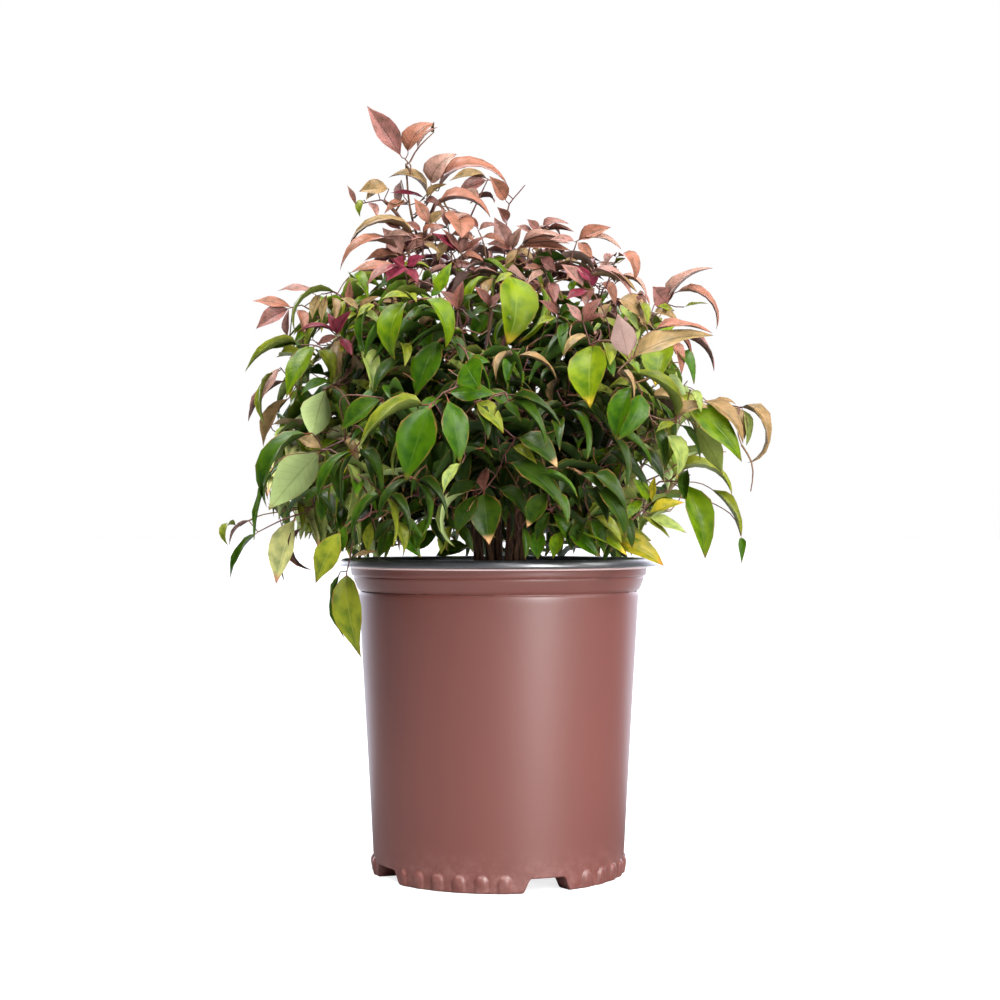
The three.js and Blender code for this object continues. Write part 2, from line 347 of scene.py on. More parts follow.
def softbox(name, azimuth, height, distance, width, tall, watts, aim=0.15):
    """A rectangular light that faces the plant. Azimuth 270 is the front, 0 the right."""
    lamp = bpy.data.lights.new(name, "AREA")
    lamp.shape, lamp.size, lamp.size_y, lamp.energy = "RECTANGLE", width, tall, watts
    turn = math.radians(azimuth)
    place = Vector((distance * math.cos(turn), distance * math.sin(turn), height))
    stand = link(name, lamp)
    stand.location = place
    stand.rotation_mode = "QUATERNION"
    stand.rotation_quaternion = (Vector((0, 0, aim)) - place).to_track_quat("-Z", "Y")


softbox("key_light", 304, 0.66, 1.9, 0.6, 1.35, 50)
softbox("right_light", 345, 1.3, 1.7, 1.1, 1.2, 26, 0.26)
softbox("left_light", 195, 2.3, 0.9, 1.0, 1.0, 44)
softbox("fill_light", 232, 1.9, 1.2, 1.2, 1.0, 17, 0.26)
softbox("top_light", 275, 2.1, 0.5, 1.6, 1.6, 42)

sun = bpy.data.lights.new("open_sky", "SUN")
sun.energy, sun.angle = 1.65, math.radians(70)
sun_stand = link("open_sky", sun)
sun_stand.rotation_euler = (math.radians(18), math.radians(8), 0)

# %% [markdown]
# ## The pot
#
# A thin-walled pot is blown in one piece: brown outside and black inside, with a rolled black lip,
# a collar, a band above a groove, a plain tapering wall, and a foot with upright ribs and four
# notches that let water out. It could be spun from a profile, but the ribs and notches break the
# symmetry. So the wall is a grid of points, one column for each half degree of turn, and each
# point's height and radius are worked out from where it stands. The same function makes the brown
# skin and the black lining inside it.

# %% Sizes of the pot
POT_HEIGHT, LIP_RADIUS = 162.5, 82.5
COLLAR_RADIUS, BAND_TOP_RADIUS, BAND_FOOT_RADIUS = 77.2, 75.9, 74.1
WALL_TOP_RADIUS, WALL_FOOT_RADIUS = 72.8, 64.6
GROOVE_Z, GROOVE_DEPTH = 145.6, 0.8
WALL, SKIN = 1.2, 0.65  # the whole wall, and the brown part of it
BASE_RECESS, FOOT_RING = 5.0, 10.0
NOTCH_TURNS = (22, 118.5, 202, 298.5)  # degrees round from the front
NOTCH_TOP_HALF, NOTCH_FOOT_HALF, NOTCH_HEIGHT = 8.5, 13.0, 7.0
FOOT_ZONE = 16.0  # the notches lift the rows of points under this height
RIB_STEP, RIB_START, RIB_HALF, RIB_TOP, RIB_PROUD = 10.0, 2.5, 3.3, 5.6, 1.5
POT_COLUMNS = 720


def smooth(x, low, high):
    t = np.clip((np.asarray(x, float) - low) / (high - low), 0, 1)
    return t * t * (3 - 2 * t)


def wall_radius(z):
    """The radius of the plain wall, band and collar at a height."""
    heights = [0, 143.4, 144.7, GROOVE_Z, 146.7, 148.1, 152.7, 153.3]
    heights += [153.6, 154.1, 154.6, 157.3, 157.6, 158.5]
    radii = [WALL_FOOT_RADIUS, WALL_TOP_RADIUS, WALL_TOP_RADIUS - 0.15, WALL_TOP_RADIUS - GROOVE_DEPTH]
    radii += [WALL_TOP_RADIUS + 0.6, BAND_FOOT_RADIUS, BAND_TOP_RADIUS - 0.1, BAND_TOP_RADIUS - 0.5]
    radii += [COLLAR_RADIUS - 1.2, COLLAR_RADIUS - 0.5, COLLAR_RADIUS - 0.3, COLLAR_RADIUS - 0.1]
    radii += [COLLAR_RADIUS + 0.3, COLLAR_RADIUS + 0.5]
    return np.interp(z, heights, radii)


def notch_height(turn):
    """How high the foot is cut at each turn from the front: flat roofs with rounded, sloping sides."""
    height = np.zeros_like(turn)
    for notch in NOTCH_TURNS:
        away = np.abs((turn - notch + 180) % 360 - 180) * math.pi / 180 * WALL_FOOT_RADIUS
        height = np.maximum(height, NOTCH_HEIGHT * (1 - smooth(away, NOTCH_TOP_HALF, NOTCH_FOOT_HALF)))
    return height


def rib_bump(turn, z):
    """How far the ribs round the foot stand proud. Each is a round-topped finger."""
    across = ((turn - RIB_START + RIB_STEP / 2) % RIB_STEP - RIB_STEP / 2) * math.pi / 180 * WALL_FOOT_RADIUS
    from_top = np.maximum(z - RIB_TOP, 0)
    inside = np.clip(1 - (across**2 + from_top**2) / RIB_HALF**2, 0, 1)
    swell = 0.75 + 0.25 * smooth(z, 1.0, 5.0)  # the fingers are fullest near their tips
    clear = 1 - smooth(notch_height(turn), 0.2, 1.2)
    near_notch = np.zeros_like(turn)
    for notch in NOTCH_TURNS:
        away = np.abs((turn - notch + 180) % 360 - 180)
        near_notch = np.maximum(near_notch, 1 - smooth(away, 13.5, 14.5))
    return RIB_PROUD * inside**0.5 * swell * clear * (1 - near_notch)


# %% A turned shell


def shell_of(name, columns, chain):
    """A closed skin round the pot's axis. "chain" gives the radius and height of each ring of
    points, and starts and ends on the axis."""
    turn = np.linspace(0, 360, columns, endpoint=False)
    azimuth = np.radians(turn - 90)
    points, rings = [], []
    for radius, z in chain(turn):
        at_pole = np.max(radius) < 1e-6
        rings.append((len(points), at_pole))
        if at_pole:
            points.append((0.0, 0.0, float(np.mean(z)) * MM))
        else:
            radius, z = np.broadcast_to(radius, turn.shape), np.broadcast_to(z, turn.shape)
            ring = np.column_stack([radius * np.cos(azimuth), radius * np.sin(azimuth), z]) * MM
            points.extend(map(tuple, ring))
    faces = []
    for (first, first_pole), (second, second_pole) in zip(rings, rings[1:]):
        for i in range(columns):
            j = (i + 1) % columns
            if first_pole:
                faces.append((first, second + j, second + i))
            elif second_pole:
                faces.append((first + i, first + j, second))
            else:
                faces.append((first + i, first + j, second + j, second + i))
    mesh = bpy.data.meshes.new(name)
    mesh.from_pydata(points, [], faces)
    tidy = bmesh.new()
    tidy.from_mesh(mesh)
    bmesh.ops.recalc_face_normals(tidy, faces=tidy.faces)
    tidy.to_mesh(mesh)
    tidy.free()
    mesh.shade_smooth()
    return link(name, mesh)


# %% The brown skin
LOW_ROWS = [0.0, 0.25, 0.6, 1.1, 1.8, 2.6, 3.6, 4.6, 5.6, 6.6, 7.4, 8.2, 9.0]
LOW_ROWS += [9.7, 10.2, 10.6, 11.0, 12.0, 14.0, 16.0]
HIGH_ROWS = [22, 40, 60, 80, 100, 120, 135, 141, 143.4, 144.2, 144.8, 145.2, 145.6]
HIGH_ROWS += [146.0, 146.5, 147.0, 147.6, 148.4, 149.5, 151, 152.3, 152.8, 153.1, 153.3]
HIGH_ROWS += [153.6, 153.9, 154.2, 154.8, 155.8, 157.1, 157.4, 157.7, 158.3]
FOOT_EDGE = 1.1  # the rounding of the bottom edge


def wall_wave(turn, z):
    """A thin blown wall is never quite true."""
    a = np.radians(turn)
    return 0.1 * np.sin(2 * a + 0.6) * smooth(z, 10, 60) + 0.05 * np.sin(5 * a + z / 30) * smooth(z, 20, 70)


def brown_chain(turn):
    lift = notch_height(turn)
    recess = np.maximum(BASE_RECESS, lift)
    inner = WALL_FOOT_RADIUS - FOOT_RING
    yield 0.0, BASE_RECESS
    yield 20.0, BASE_RECESS
    yield inner - 6, BASE_RECESS
    yield inner - 1.2, recess
    yield inner - 0.6, np.maximum(recess - 0.6, lift + 0.01)
    yield inner, lift + 0.5
    yield inner + 0.6, lift
    for share in (0.3, 0.6, 0.85):
        yield inner + share * FOOT_RING, lift
    for z in LOW_ROWS:
        height = lift + z * (FOOT_ZONE - lift) / FOOT_ZONE
        edge = FOOT_EDGE * (1 - np.sqrt(np.clip(1 - (1 - z / FOOT_EDGE) ** 2, 0, 1))) if z < FOOT_EDGE else 0
        yield wall_radius(height) - edge + rib_bump(turn, height) * min(1, z / 0.6), height
    for z in HIGH_ROWS:
        yield wall_radius(z) + wall_wave(turn, z), z
    yield COLLAR_RADIUS + 0.3, 158.5
    yield COLLAR_RADIUS - SKIN, 158.45
    for z in [157, 155, 154, 153, 150, 148, 146.7, GROOVE_Z, 144.5, 141, 120, 80, 40, FOOT_ZONE]:
        yield wall_radius(z) - SKIN + wall_wave(turn, z), z
    yield wall_radius(10) - SKIN - 0.3, np.maximum(10, lift + 2)
    yield WALL_FOOT_RADIUS - 1.6, np.maximum(1.2, lift + SKIN)
    yield inner + 1, lift + SKIN
    yield inner - 1, np.maximum(BASE_RECESS + SKIN, lift + SKIN)
    yield 0.0, BASE_RECESS + SKIN


pot_outer = shell_of("pot_outer", POT_COLUMNS, brown_chain)
print("brown skin:", count_triangles(pot_outer), "triangles")

# %% The black lining and rolled lip
LIP_ROWS = [(77.6, 158.62), (81.2, 158.5), (82.1, 158.62), (82.5, 159.0), (82.5, 159.7), (82.4, 160.5)]
LIP_ROWS += [(82.1, 161.2), (81.6, 161.8), (80.9, 162.2), (79.9, 162.45), (78.6, 162.5), (77.4, 162.2)]
LIP_ROWS += [(76.5, 161.5), (76.0, 160.5), (75.75, 159.0)]


def black_chain(turn):
    lift = notch_height(turn)
    floor_z = np.maximum(BASE_RECESS, lift) + SKIN + 0.05
    inner = WALL_FOOT_RADIUS - FOOT_RING
    yield 0.0, BASE_RECESS + SKIN + 0.05
    yield inner, floor_z
    yield WALL_FOOT_RADIUS - 2.4, np.maximum(lift + 1.4, 2.0)
    yield wall_radius(FOOT_ZONE) - SKIN - 0.05, FOOT_ZONE
    for z in [40, 80, 120, 141, 144.5, GROOVE_Z, 146.7, 148, 150, 153, 154, 155, 157]:
        yield wall_radius(z) - SKIN - 0.05 + wall_wave(turn, z), z
    yield COLLAR_RADIUS - SKIN - 0.05, 158.5
    sag = 0.12 * np.sin(np.radians(3 * turn + 40))
    for radius, z in LIP_ROWS:
        yield radius + sag * smooth(radius, 77, 82), z
    for z in [157, 155, 154, 152.5, 150, 148, 146.7, GROOVE_Z, 144.5, 141, 120, 80, 40, FOOT_ZONE]:
        yield wall_radius(z) - WALL + wall_wave(turn, z), z
    yield WALL_FOOT_RADIUS - 3.2, np.maximum(lift + 2.0, 2.6)
    yield inner, floor_z + 0.5
    yield 0.0, BASE_RECESS + SKIN + 0.6


pot_lining = shell_of("pot_lining", POT_COLUMNS // 2, black_chain)
print("lining and lip:", count_triangles(pot_lining), "triangles")

# %% [markdown]
# ## Finishes of the pot
#
# The brown plastic is satin: it holds a broad soft shine, with faint upright draw marks, a little
# dust near the foot and a few pale scuffs where pots have rubbed together. The thin line where the
# brown skin ends under the lip is painted paler: a painted highlight where that edge catches the light.

# %% Pot materials
POT_BROWN, POT_DUSTY, POT_EDGE_HIGHLIGHT = srgb(104, 53, 45), srgb(142, 96, 88), srgb(214, 186, 182)

pot_plastic, tree, shader = finish_of(
    "pot_plastic", Specular_IOR_Level=0.6, Coat_Weight=0.5, Coat_Roughness=0.4
)
place = tree.place()
height = tree.add("ShaderNodeSeparateXYZ", None, {0: place})["Z"] / MM
broad = tree.noise(place, 22.0, 3.0)
stretch = tree.add("ShaderNodeMapping", None, {"Vector": place, "Scale": (900, 900, 16)})
draw_marks = tree.noise(stretch, 1.0, 2.0)
grit = tree.noise(place, 1500.0, 2.0)
rub = tree.noise(place, 160.0, 6.0, 0.8)
scuffs = tree.ramp(rub, 0.67, 0.74) * tree.ramp(broad, 0.45, 0.62)
dust = (1 - tree.ramp(height, 2.0, 26.0)) * tree.ramp(rub, 0.4, 0.7)
# A painted highlight: a pale band where the brown skin ends under the lip and its edge catches the light.
edge = tree.ramp(height, 157.35, 157.6)
colour = tree.mix(broad * 0.6, POT_BROWN, srgb(95, 48, 41))
colour = tree.mix(dust * 0.5 + scuffs * 0.35, colour, POT_DUSTY)
colour = tree.mix(edge * 0.8, colour, POT_EDGE_HIGHLIGHT)
tree.plug(colour, shader.inputs["Base Color"])
tree.plug(broad * 0.08 + dust * 0.15 + scuffs * 0.1 + draw_marks * 0.06 + 0.38, shader.inputs["Roughness"])
relief = draw_marks * 0.5 + grit * 0.5 + scuffs * 0.4
emboss(tree, shader, relief, 0.25, 0.00008)
pot_outer.data.materials.append(pot_plastic)

lip_plastic, tree, shader = finish_of(
    "lip_plastic", Specular_IOR_Level=1.0, Coat_Weight=1.0, Coat_Roughness=0.36, Coat_IOR=2.1
)
place = tree.place()
wear = tree.noise(place, 240.0, 5.0, 0.7)
soil = tree.noise(place, 60.0, 4.0)
dusty = tree.ramp(wear, 0.52, 0.75)
tree.plug(tree.mix(dusty * 0.4, srgb(36, 37, 43), srgb(96, 96, 104)), shader.inputs["Base Color"])
tree.plug(dusty * 0.1 + soil * 0.1 + 0.4, shader.inputs["Roughness"])
emboss(tree, shader, wear, 0.2, 0.0001)
pot_lining.data.materials.append(lip_plastic)

# %% [markdown]
# ## Potting mix
#
# Nursery mix is composted bark: dark crumbs, chips of bark up to a centimetre long, and a few white
# beads of perlite. The bed is a lumpy disc that reaches down inside the pot, and Geometry Nodes
# scatter chips and beads on it from a fixed seed.

# %% The bed
MIX_TOP, MIX_RADIUS = 147.0, 72.2
MIX_FOOT, MIX_FOOT_RADIUS = 60.0, 63.5
BED_RINGS, BED_COLUMNS = 34, 120


def lump(x, y):
    """The unevenness of the bed, in millimetres."""
    broad = 0.9 * math.sin(x / 9 + 1) * math.cos(y / 7)
    return broad + 0.6 * math.sin((x + y) / 4.1) + 0.5 * math.cos((x - 2 * y) / 5.3)


bed_points, bed_faces = [(0, 0, (MIX_TOP + lump(0, 0)) * MM)], []
for ring in range(1, BED_RINGS + 1):
    for i in range(BED_COLUMNS):
        azimuth = 2 * math.pi * i / BED_COLUMNS
        r = MIX_RADIUS * ring / BED_RINGS
        x, y = r * math.cos(azimuth), r * math.sin(azimuth)
        bed_points.append((x * MM, y * MM, (MIX_TOP + lump(x, y) - 1.5 * (r / MIX_RADIUS) ** 4) * MM))
for i in range(BED_COLUMNS):
    j = (i + 1) % BED_COLUMNS
    bed_faces.append((0, 1 + i, 1 + j))
    for ring in range(BED_RINGS - 1):
        a, b = 1 + ring * BED_COLUMNS, 1 + (ring + 1) * BED_COLUMNS
        bed_faces.append((a + i, b + i, b + j, a + j))
rim = 1 + (BED_RINGS - 1) * BED_COLUMNS
low = len(bed_points)
for i in range(BED_COLUMNS):
    azimuth = 2 * math.pi * i / BED_COLUMNS
    x, y = MIX_FOOT_RADIUS * math.cos(azimuth), MIX_FOOT_RADIUS * math.sin(azimuth)
    bed_points.append((x * MM, y * MM, MIX_FOOT * MM))
for i in range(BED_COLUMNS):
    j = (i + 1) % BED_COLUMNS
    bed_faces.append((rim + i, low + i, low + j, rim + j))
bed_faces.append(tuple(range(low + BED_COLUMNS - 1, low - 1, -1)))
bed_mesh = bpy.data.meshes.new("mix_bed")
bed_mesh.from_pydata(bed_points, [], bed_faces)
bed_mesh.shade_smooth()
mix_bed = link("mix_bed", bed_mesh)

# %% Chips and beads
STREWN_RADIUS = 0.0675  # metres from the axis, clear of the pot's wall
# Half sizes in mm of the kinds of chip and bead.
CHIP_SIZES = [(3.2, 1.8, 0.9), (4.2, 1.5, 0.8), (2.2, 1.9, 1.1), (1.5, 1.3, 0.8)]
BEAD_SIZES = [(1.1, 1.0, 0.9), (0.8, 0.9, 0.7)]
dice = random.Random(11)


def stone(name, half, roughness, cuts):
    """A small irregular lump, as a chip of bark or a bead."""
    build = bmesh.new()
    bmesh.ops.create_icosphere(build, subdivisions=cuts, radius=1)
    for v in build.verts:
        v.co *= 1 + roughness * (dice.random() - 0.5)
        v.co = Vector(c * h * MM for c, h in zip(v.co, half))
    mesh = bpy.data.meshes.new(name)
    build.to_mesh(mesh)
    build.free()
    return bpy.data.objects.new(name, mesh)


def kit_of(name, parts):
    """A collection of small parts that Geometry Nodes pick from. It isn't part of the scene."""
    kit = bpy.data.collections.new(name)
    for part in parts:
        kit.objects.link(part)
    return kit


def clear_kit(kit):
    for part in list(kit.objects):
        bpy.data.objects.remove(part)
    bpy.data.collections.remove(kit)


def scatter(name, surface, kit, material, spacing, share, size, seed):
    """Lays parts of a kit on the upward faces of a surface, clear of the pot's wall."""
    group, tree, given = new_growth_tree(name + "_tree", Spacing="Float", Size="Float", Seed="Int")
    normal = tree.add("GeometryNodeInputNormal")
    up = tree.add("ShaderNodeSeparateXYZ", None, {0: normal})["Z"]
    place = tree.add("GeometryNodeInputPosition")
    flat = tree.add("ShaderNodeVectorMath", {"operation": "MULTIPLY"}, {0: place, 1: (1, 1, 0)})
    from_axis = tree.add("ShaderNodeVectorMath", {"operation": "LENGTH"}, {0: flat})["Value"]
    level = tree.math("GREATER_THAN", up, 0.5) * tree.math("LESS_THAN", from_axis, STREWN_RADIUS)
    spots = tree.add(
        "GeometryNodeDistributePointsOnFaces",
        {"distribute_method": "POISSON"},
        {
            "Mesh": given["Geometry"], "Selection": level,
            "Distance Min": given["Spacing"], "Density Max": 1.0 / spacing**2,
            "Density Factor": share, "Seed": given["Seed"],
        },
    )
    turn = tree.add(
        "FunctionNodeRandomValue", {"data_type": "FLOAT_VECTOR"},
        {0: (-0.5, -0.5, 0.0), 1: (0.5, 0.5, 6.28), "Seed": seed + 1},
    )
    sizes = {2: 0.55, 3: 1.25, "Seed": seed + 2}
    vary = tree.add("FunctionNodeRandomValue", {"data_type": "FLOAT"}, sizes)[1]
    parts = tree.add(
        "GeometryNodeCollectionInfo", None,
        {"Collection": kit, "Separate Children": True, "Reset Children": True},
    )
    placed = tree.add(
        "GeometryNodeInstanceOnPoints", None,
        {
            "Points": spots, "Instance": parts, "Pick Instance": True, "Rotation": turn,
            "Scale": vary * given["Size"],
        },
    )
    end_growth_tree(tree, placed, material)
    return grown(name, surface, group, Spacing=spacing, Size=size, Seed=seed)


mix_earth, tree, shader = finish_of("mix_earth", Specular_IOR_Level=0.2)
place = tree.place()
crumb = tree.noise(place, 420.0, 6.0, 0.75)
colour = tree.mix(tree.ramp(crumb, 0.3, 0.7), srgb(26, 19, 15), srgb(74, 54, 40))
tree.plug(colour, shader.inputs["Base Color"])
tree.plug(crumb * 0.2 + 0.78, shader.inputs["Roughness"])
emboss(tree, shader, crumb, 0.9, 0.0008)
mix_bed.data.materials.append(mix_earth)

bark_chip, tree, shader = finish_of("bark_chip", Specular_IOR_Level=0.25)
place = tree.place()
fleck = tree.noise(place, 120.0, 5.0, 0.7)
grain = tree.noise(place, 1400.0, 2.0)
colour = tree.mix(tree.ramp(fleck, 0.35, 0.68), srgb(44, 30, 22), srgb(128, 92, 64))
tree.plug(colour, shader.inputs["Base Color"])
tree.plug(grain * 0.2 + 0.7, shader.inputs["Roughness"])
emboss(tree, shader, grain, 0.6, 0.0003)

perlite, tree, shader = finish_of("perlite", Specular_IOR_Level=0.3)
place = tree.place()
pit = tree.noise(place, 1800.0, 3.0)
tree.plug(tree.mix(pit, srgb(196, 190, 178), srgb(238, 234, 226)), shader.inputs["Base Color"])
tree.plug(pit * 0.2 + 0.75, shader.inputs["Roughness"])

chips = kit_of("chip_kit", [stone(f"chip_{i}", h, 0.7, 1) for i, h in enumerate(CHIP_SIZES)])
beads = kit_of("bead_kit", [stone(f"bead_{i}", h, 0.4, 1) for i, h in enumerate(BEAD_SIZES)])
chip_bed, bead_bed = link("chip_bed", bed_mesh.copy()), link("bead_bed", bed_mesh.copy())
bark_chips = scatter("bark_chips", chip_bed, chips, bark_chip, 0.0042, 1.0, 1.0, 5)
perlite_beads = scatter("perlite_beads", bead_bed, beads, perlite, 0.012, 0.5, 1.0, 9)
clear_kit(chips)
clear_kit(beads)
mix_pieces = (mix_bed, bark_chips, perlite_beads)
print("mix:", sum(count_triangles(piece) for piece in mix_pieces), "triangles")

# %% [markdown]
# ## Where the canes and stalks run
#
# The CAD model holds each cane and main leaf stalk as one tapering solid. Its middle line is found
# by slicing the solid: at a row of planes across it, the points where its edges cross each plane are
# averaged to give the middle, and their distance from it gives the radius.

# %% Middle lines
SLICES = 9


def merged(node):
    """The points and triangles of a CAD node, with doubles joined. The node itself is left alone."""
    build = bmesh.new()
    build.from_mesh(frame["nodes"][node].data)
    bmesh.ops.remove_doubles(build, verts=build.verts, dist=1e-6)
    points = [v.co.copy() for v in build.verts]
    edges = [tuple(v.index for v in e.verts) for e in build.edges]
    faces = [tuple(v.index for v in f.verts) for f in build.faces]
    build.free()
    return points, edges, faces


def middle_line(node, upright):
    """The middle points and radii of a limb, from its foot to its tip."""
    points, edges, _ = merged(node)
    if upright:
        foot, tip = min(points, key=lambda p: p.z), max(points, key=lambda p: p.z)
        chord = Vector((0, 0, tip.z - foot.z))
    else:
        start = min(points, key=lambda p: p.x**2 + p.y**2)
        tip = max(points, key=lambda p: (p - start).length)
        foot = max(points, key=lambda p: (p - tip).length)
        chord = tip - foot
    way = chord.normalized()
    line = []
    for share in np.linspace(0.02, 0.98, SLICES):
        level = foot.dot(way) + share * chord.length
        cuts = []
        for a, b in edges:
            da, db = points[a].dot(way) - level, points[b].dot(way) - level
            if da * db < 0:
                cuts.append(points[a].lerp(points[b], da / (da - db)))
        middle = sum(cuts, Vector()) / len(cuts)
        radius = sum((c - middle).length for c in cuts) / len(cuts)
        line.append((middle, radius))
    return line


canes = {n: middle_line(n, True) for n in sorted(frame["nodes"]) if n.startswith("cane_")}
stalks = {n: middle_line(n, False) for n in sorted(frame["nodes"]) if n.startswith("stalk_")}
print(len(canes), "canes and", len(stalks), "main leaf stalks")

# %% [markdown]
# ## The shape of the crown
#
# Each mass of foliage is read from the frame as its middle and its surface. One surface holds all
# the masses of the rings and the crown: a ray sent inwards to it tells how deep under the outside
# of the plant a place lies, which decides how leaves point and how they are coloured. A second one
# holds the sprays as well, and tells how far back the front of the foliage stands.

# %% Masses
MASS_WORDS = ("skirt", "waist", "shoulder", "crown")
SPRAY_NAMES = ["spire_left", "spire_right", "spire_tip", "right_sprig", "left_tip", "hanging_leaf"]
mass_names = [n for n in sorted(frame["nodes"]) if n.split("_")[0] in MASS_WORDS]
print(len(mass_names), "masses and", len(SPRAY_NAMES), "sprays")

mass_shape = {}


def shape_of(names):
    """One surface that holds all the named masses. Notes the middle and surface of each."""
    all_points, all_faces = [], []
    for name in names:
        points, _, faces = merged(name)
        mass_shape[name] = (sum(points, Vector()) / len(points), BVHTree.FromPolygons(points, faces))
        all_faces += [tuple(i + len(all_points) for i in f) for f in faces]
        all_points += points
    return BVHTree.FromPolygons(all_points, all_faces)


crown_shape = shape_of(mass_names)
whole_shape = shape_of(mass_names + SPRAY_NAMES)

HEART_Z = 0.232  # leaves point away from this height on the plant's axis


def outward(place):
    return Vector((place.x, place.y, (place.z - HEART_Z) * 1.2)).normalized()


def depth_under_crown(place):
    """How far inside the outside of the crown a place lies, in metres, along its outward way."""
    way, start = outward(place), 0.35
    hit = crown_shape.ray_cast(place + way * start, -way, start * 2)
    return start - hit[3] if hit[0] else -0.05


def in_mass(place, name):
    middle, shape = mass_shape[name]
    way = place - middle
    if way.length < 1e-6:
        return True
    hit = shape.ray_cast(middle, way.normalized())
    return hit[0] is not None and hit[3] > way.length


def front_depth(column, row):
    """How far back the front of the foliage stands at a spot of the picture, in mm. Where the spot
    is beside the foliage, the nearest place towards the heart of the plant answers."""
    for step in range(50):
        share = step / 50
        spot = (column + (500 - column) * share, row + (400 - row) * share)
        way = (seen(*spot, 0) - CAMERA_PLACE).normalized()
        hit = whole_shape.ray_cast(CAMERA_PLACE, way)
        if hit[0] is not None:
            return hit[0].y / MM
    return 0.0


def nearest_mass(place):
    return min(mass_shape, key=lambda name: (mass_shape[name][0] - place).length)


# %% [markdown]
# ## One leaflet
#
# A leaflet of this species is a pointed oval about two and a half times as long as it is wide,
# narrowed to a short stalk at its foot and drawn out to a point. It is folded a little along the
# midrib, each half bulges, and it arches over its length. It is made here as a closed skin of a few
# dozen faces, upper side and underside, so that it has a thickness from every side. A set of blades
# with different arches, folds and twists keeps neighbours from looking alike.

# %% The blade
BLADE_ROWS = [-0.07, 0.0, 0.07, 0.18, 0.31, 0.45, 0.59, 0.72, 0.83, 0.92]
BLADE_HALF = [0.035, 0.05, 0.38, 0.81, 1.0, 0.95, 0.76, 0.50, 0.28, 0.13]  # shares of the half width
BLADE_RATIO = 0.40  # width over length
ACROSS = [-1.0, -0.52, 0.0, 0.52, 1.0]
KEEL_THICK = 0.018
HALF_SAG = 0.42  # how much the edge of each half droops, as a share of the half width
RIPPLES, RIPPLE_SHIFT = 9, 2.0  # waves along the edge, and how far the two edges are out of step
UNEVEN, UNEVEN_WAVES, UNEVEN_SHIFT = 0.025, 13, 2.4
TIP_SAMPLE, MIDDLE_SAMPLE = 9, 4  # of the points that are kept along a leaflet
RING = len(ACROSS) + 1
UV_NAME = "OFBake"
BENDS = [8, 30, 52, 76, 102, 132, 165]
TWINS = 4  # blades of each bend; the first two are nearly true, the others twisted


def blade(name, bend, fold, twist, sickle, wave, belly):
    """One leaflet of length 1 along +Y, upper side up. Returns its object and what placing needs."""
    rings, spine = [], []
    at, before = Vector(), BLADE_ROWS[0]
    for t, half in zip(BLADE_ROWS + [1.0], BLADE_HALF + [0.0]):
        grow = max(0.0, t)
        half = float(np.interp(grow**belly, BLADE_ROWS, BLADE_HALF)) if 0 < t < 1 else half
        dip = -math.radians(bend) * grow**1.15
        swing = math.radians(sickle) * grow
        way = Vector((math.sin(swing) * math.cos(dip), math.cos(swing) * math.cos(dip), math.sin(dip)))
        at = at + way * (t - before)
        before = t
        side = way.cross(Vector((0, -math.sin(dip), math.cos(dip)))).normalized()
        side = Matrix.Rotation(math.radians(twist) * (grow - 0.3), 3, way) @ side
        up = side.cross(way).normalized()
        spine.append((at.copy(), up.copy()))
        w = half * BLADE_RATIO / 2
        rise = fold * (1 - 0.45 * grow)
        ring = []
        for u in ACROSS:
            ripple = wave * u * u * math.sin(RIPPLES * t + (RIPPLE_SHIFT if u > 0 else 0.0))
            phase = UNEVEN_WAVES * t + 9 * twist + (UNEVEN_SHIFT if u > 0 else 0.0)
            uneven = 1 + UNEVEN * math.sin(phase)
            lift = rise * abs(u) - HALF_SAG * u * u + ripple
            ring.append(at + side * w * u * uneven + up * w * lift)
        ring.append(at - up * KEEL_THICK * (1.0 if half > 0.2 else 0.5))
        rings.append(ring)
    points = [p for ring in rings[:-1] for p in ring] + [rings[-1][0]]
    top = [0.25 + 0.22 * u for u in ACROSS]
    low = [0.97, 0.75, 0.53]
    ring_u = list(zip(top, top[1:])) + list(zip(low, low[1:]))
    rows = BLADE_ROWS + [1.0]
    v_of = [0.03 + 0.94 * (t - rows[0]) / (1 - rows[0]) for t in rows]
    faces, corners = [], []
    for row in range(len(rows) - 1):
        a, b = row * RING, (row + 1) * RING
        for k in range(RING):
            j = (k + 1) % RING
            u0, u1 = ring_u[k]
            if row == len(rows) - 2:
                faces.append((a + k, a + j, b))
                corners += [(u0, v_of[row]), (u1, v_of[row]), ((u0 + u1) / 2, v_of[row + 1])]
            else:
                faces.append((a + k, a + j, b + j, b + k))
                corners += [(u0, v_of[row]), (u1, v_of[row]), (u1, v_of[row + 1]), (u0, v_of[row + 1])]
    faces.append(tuple(range(RING - 1, -1, -1)))
    corners += [(0.25, 0.01 + 0.002 * k) for k in range(RING)]
    mesh = bpy.data.meshes.new(name)
    mesh.from_pydata(points, [], faces)
    layer = mesh.uv_layers.new(name=UV_NAME)
    layer.data.foreach_set("uv", np.array(corners, np.float32).ravel())
    mesh.shade_smooth()
    sharp = mesh.attributes.new("sharp_edge", "BOOLEAN", "EDGE")
    flags = []
    for e in mesh.edges:
        a, b = e.vertices
        flags.append(a % RING in (0, 4) and a % RING == b % RING and a // RING != b // RING)
    sharp.data.foreach_set("value", flags)
    samples = [s[0] for s in spine[1:]] + [rings[k][j] for k in (3, 5, 7) for j in (0, 4)]
    return bpy.data.objects.new(name, mesh), rings[-1][0], spine[5][1], samples


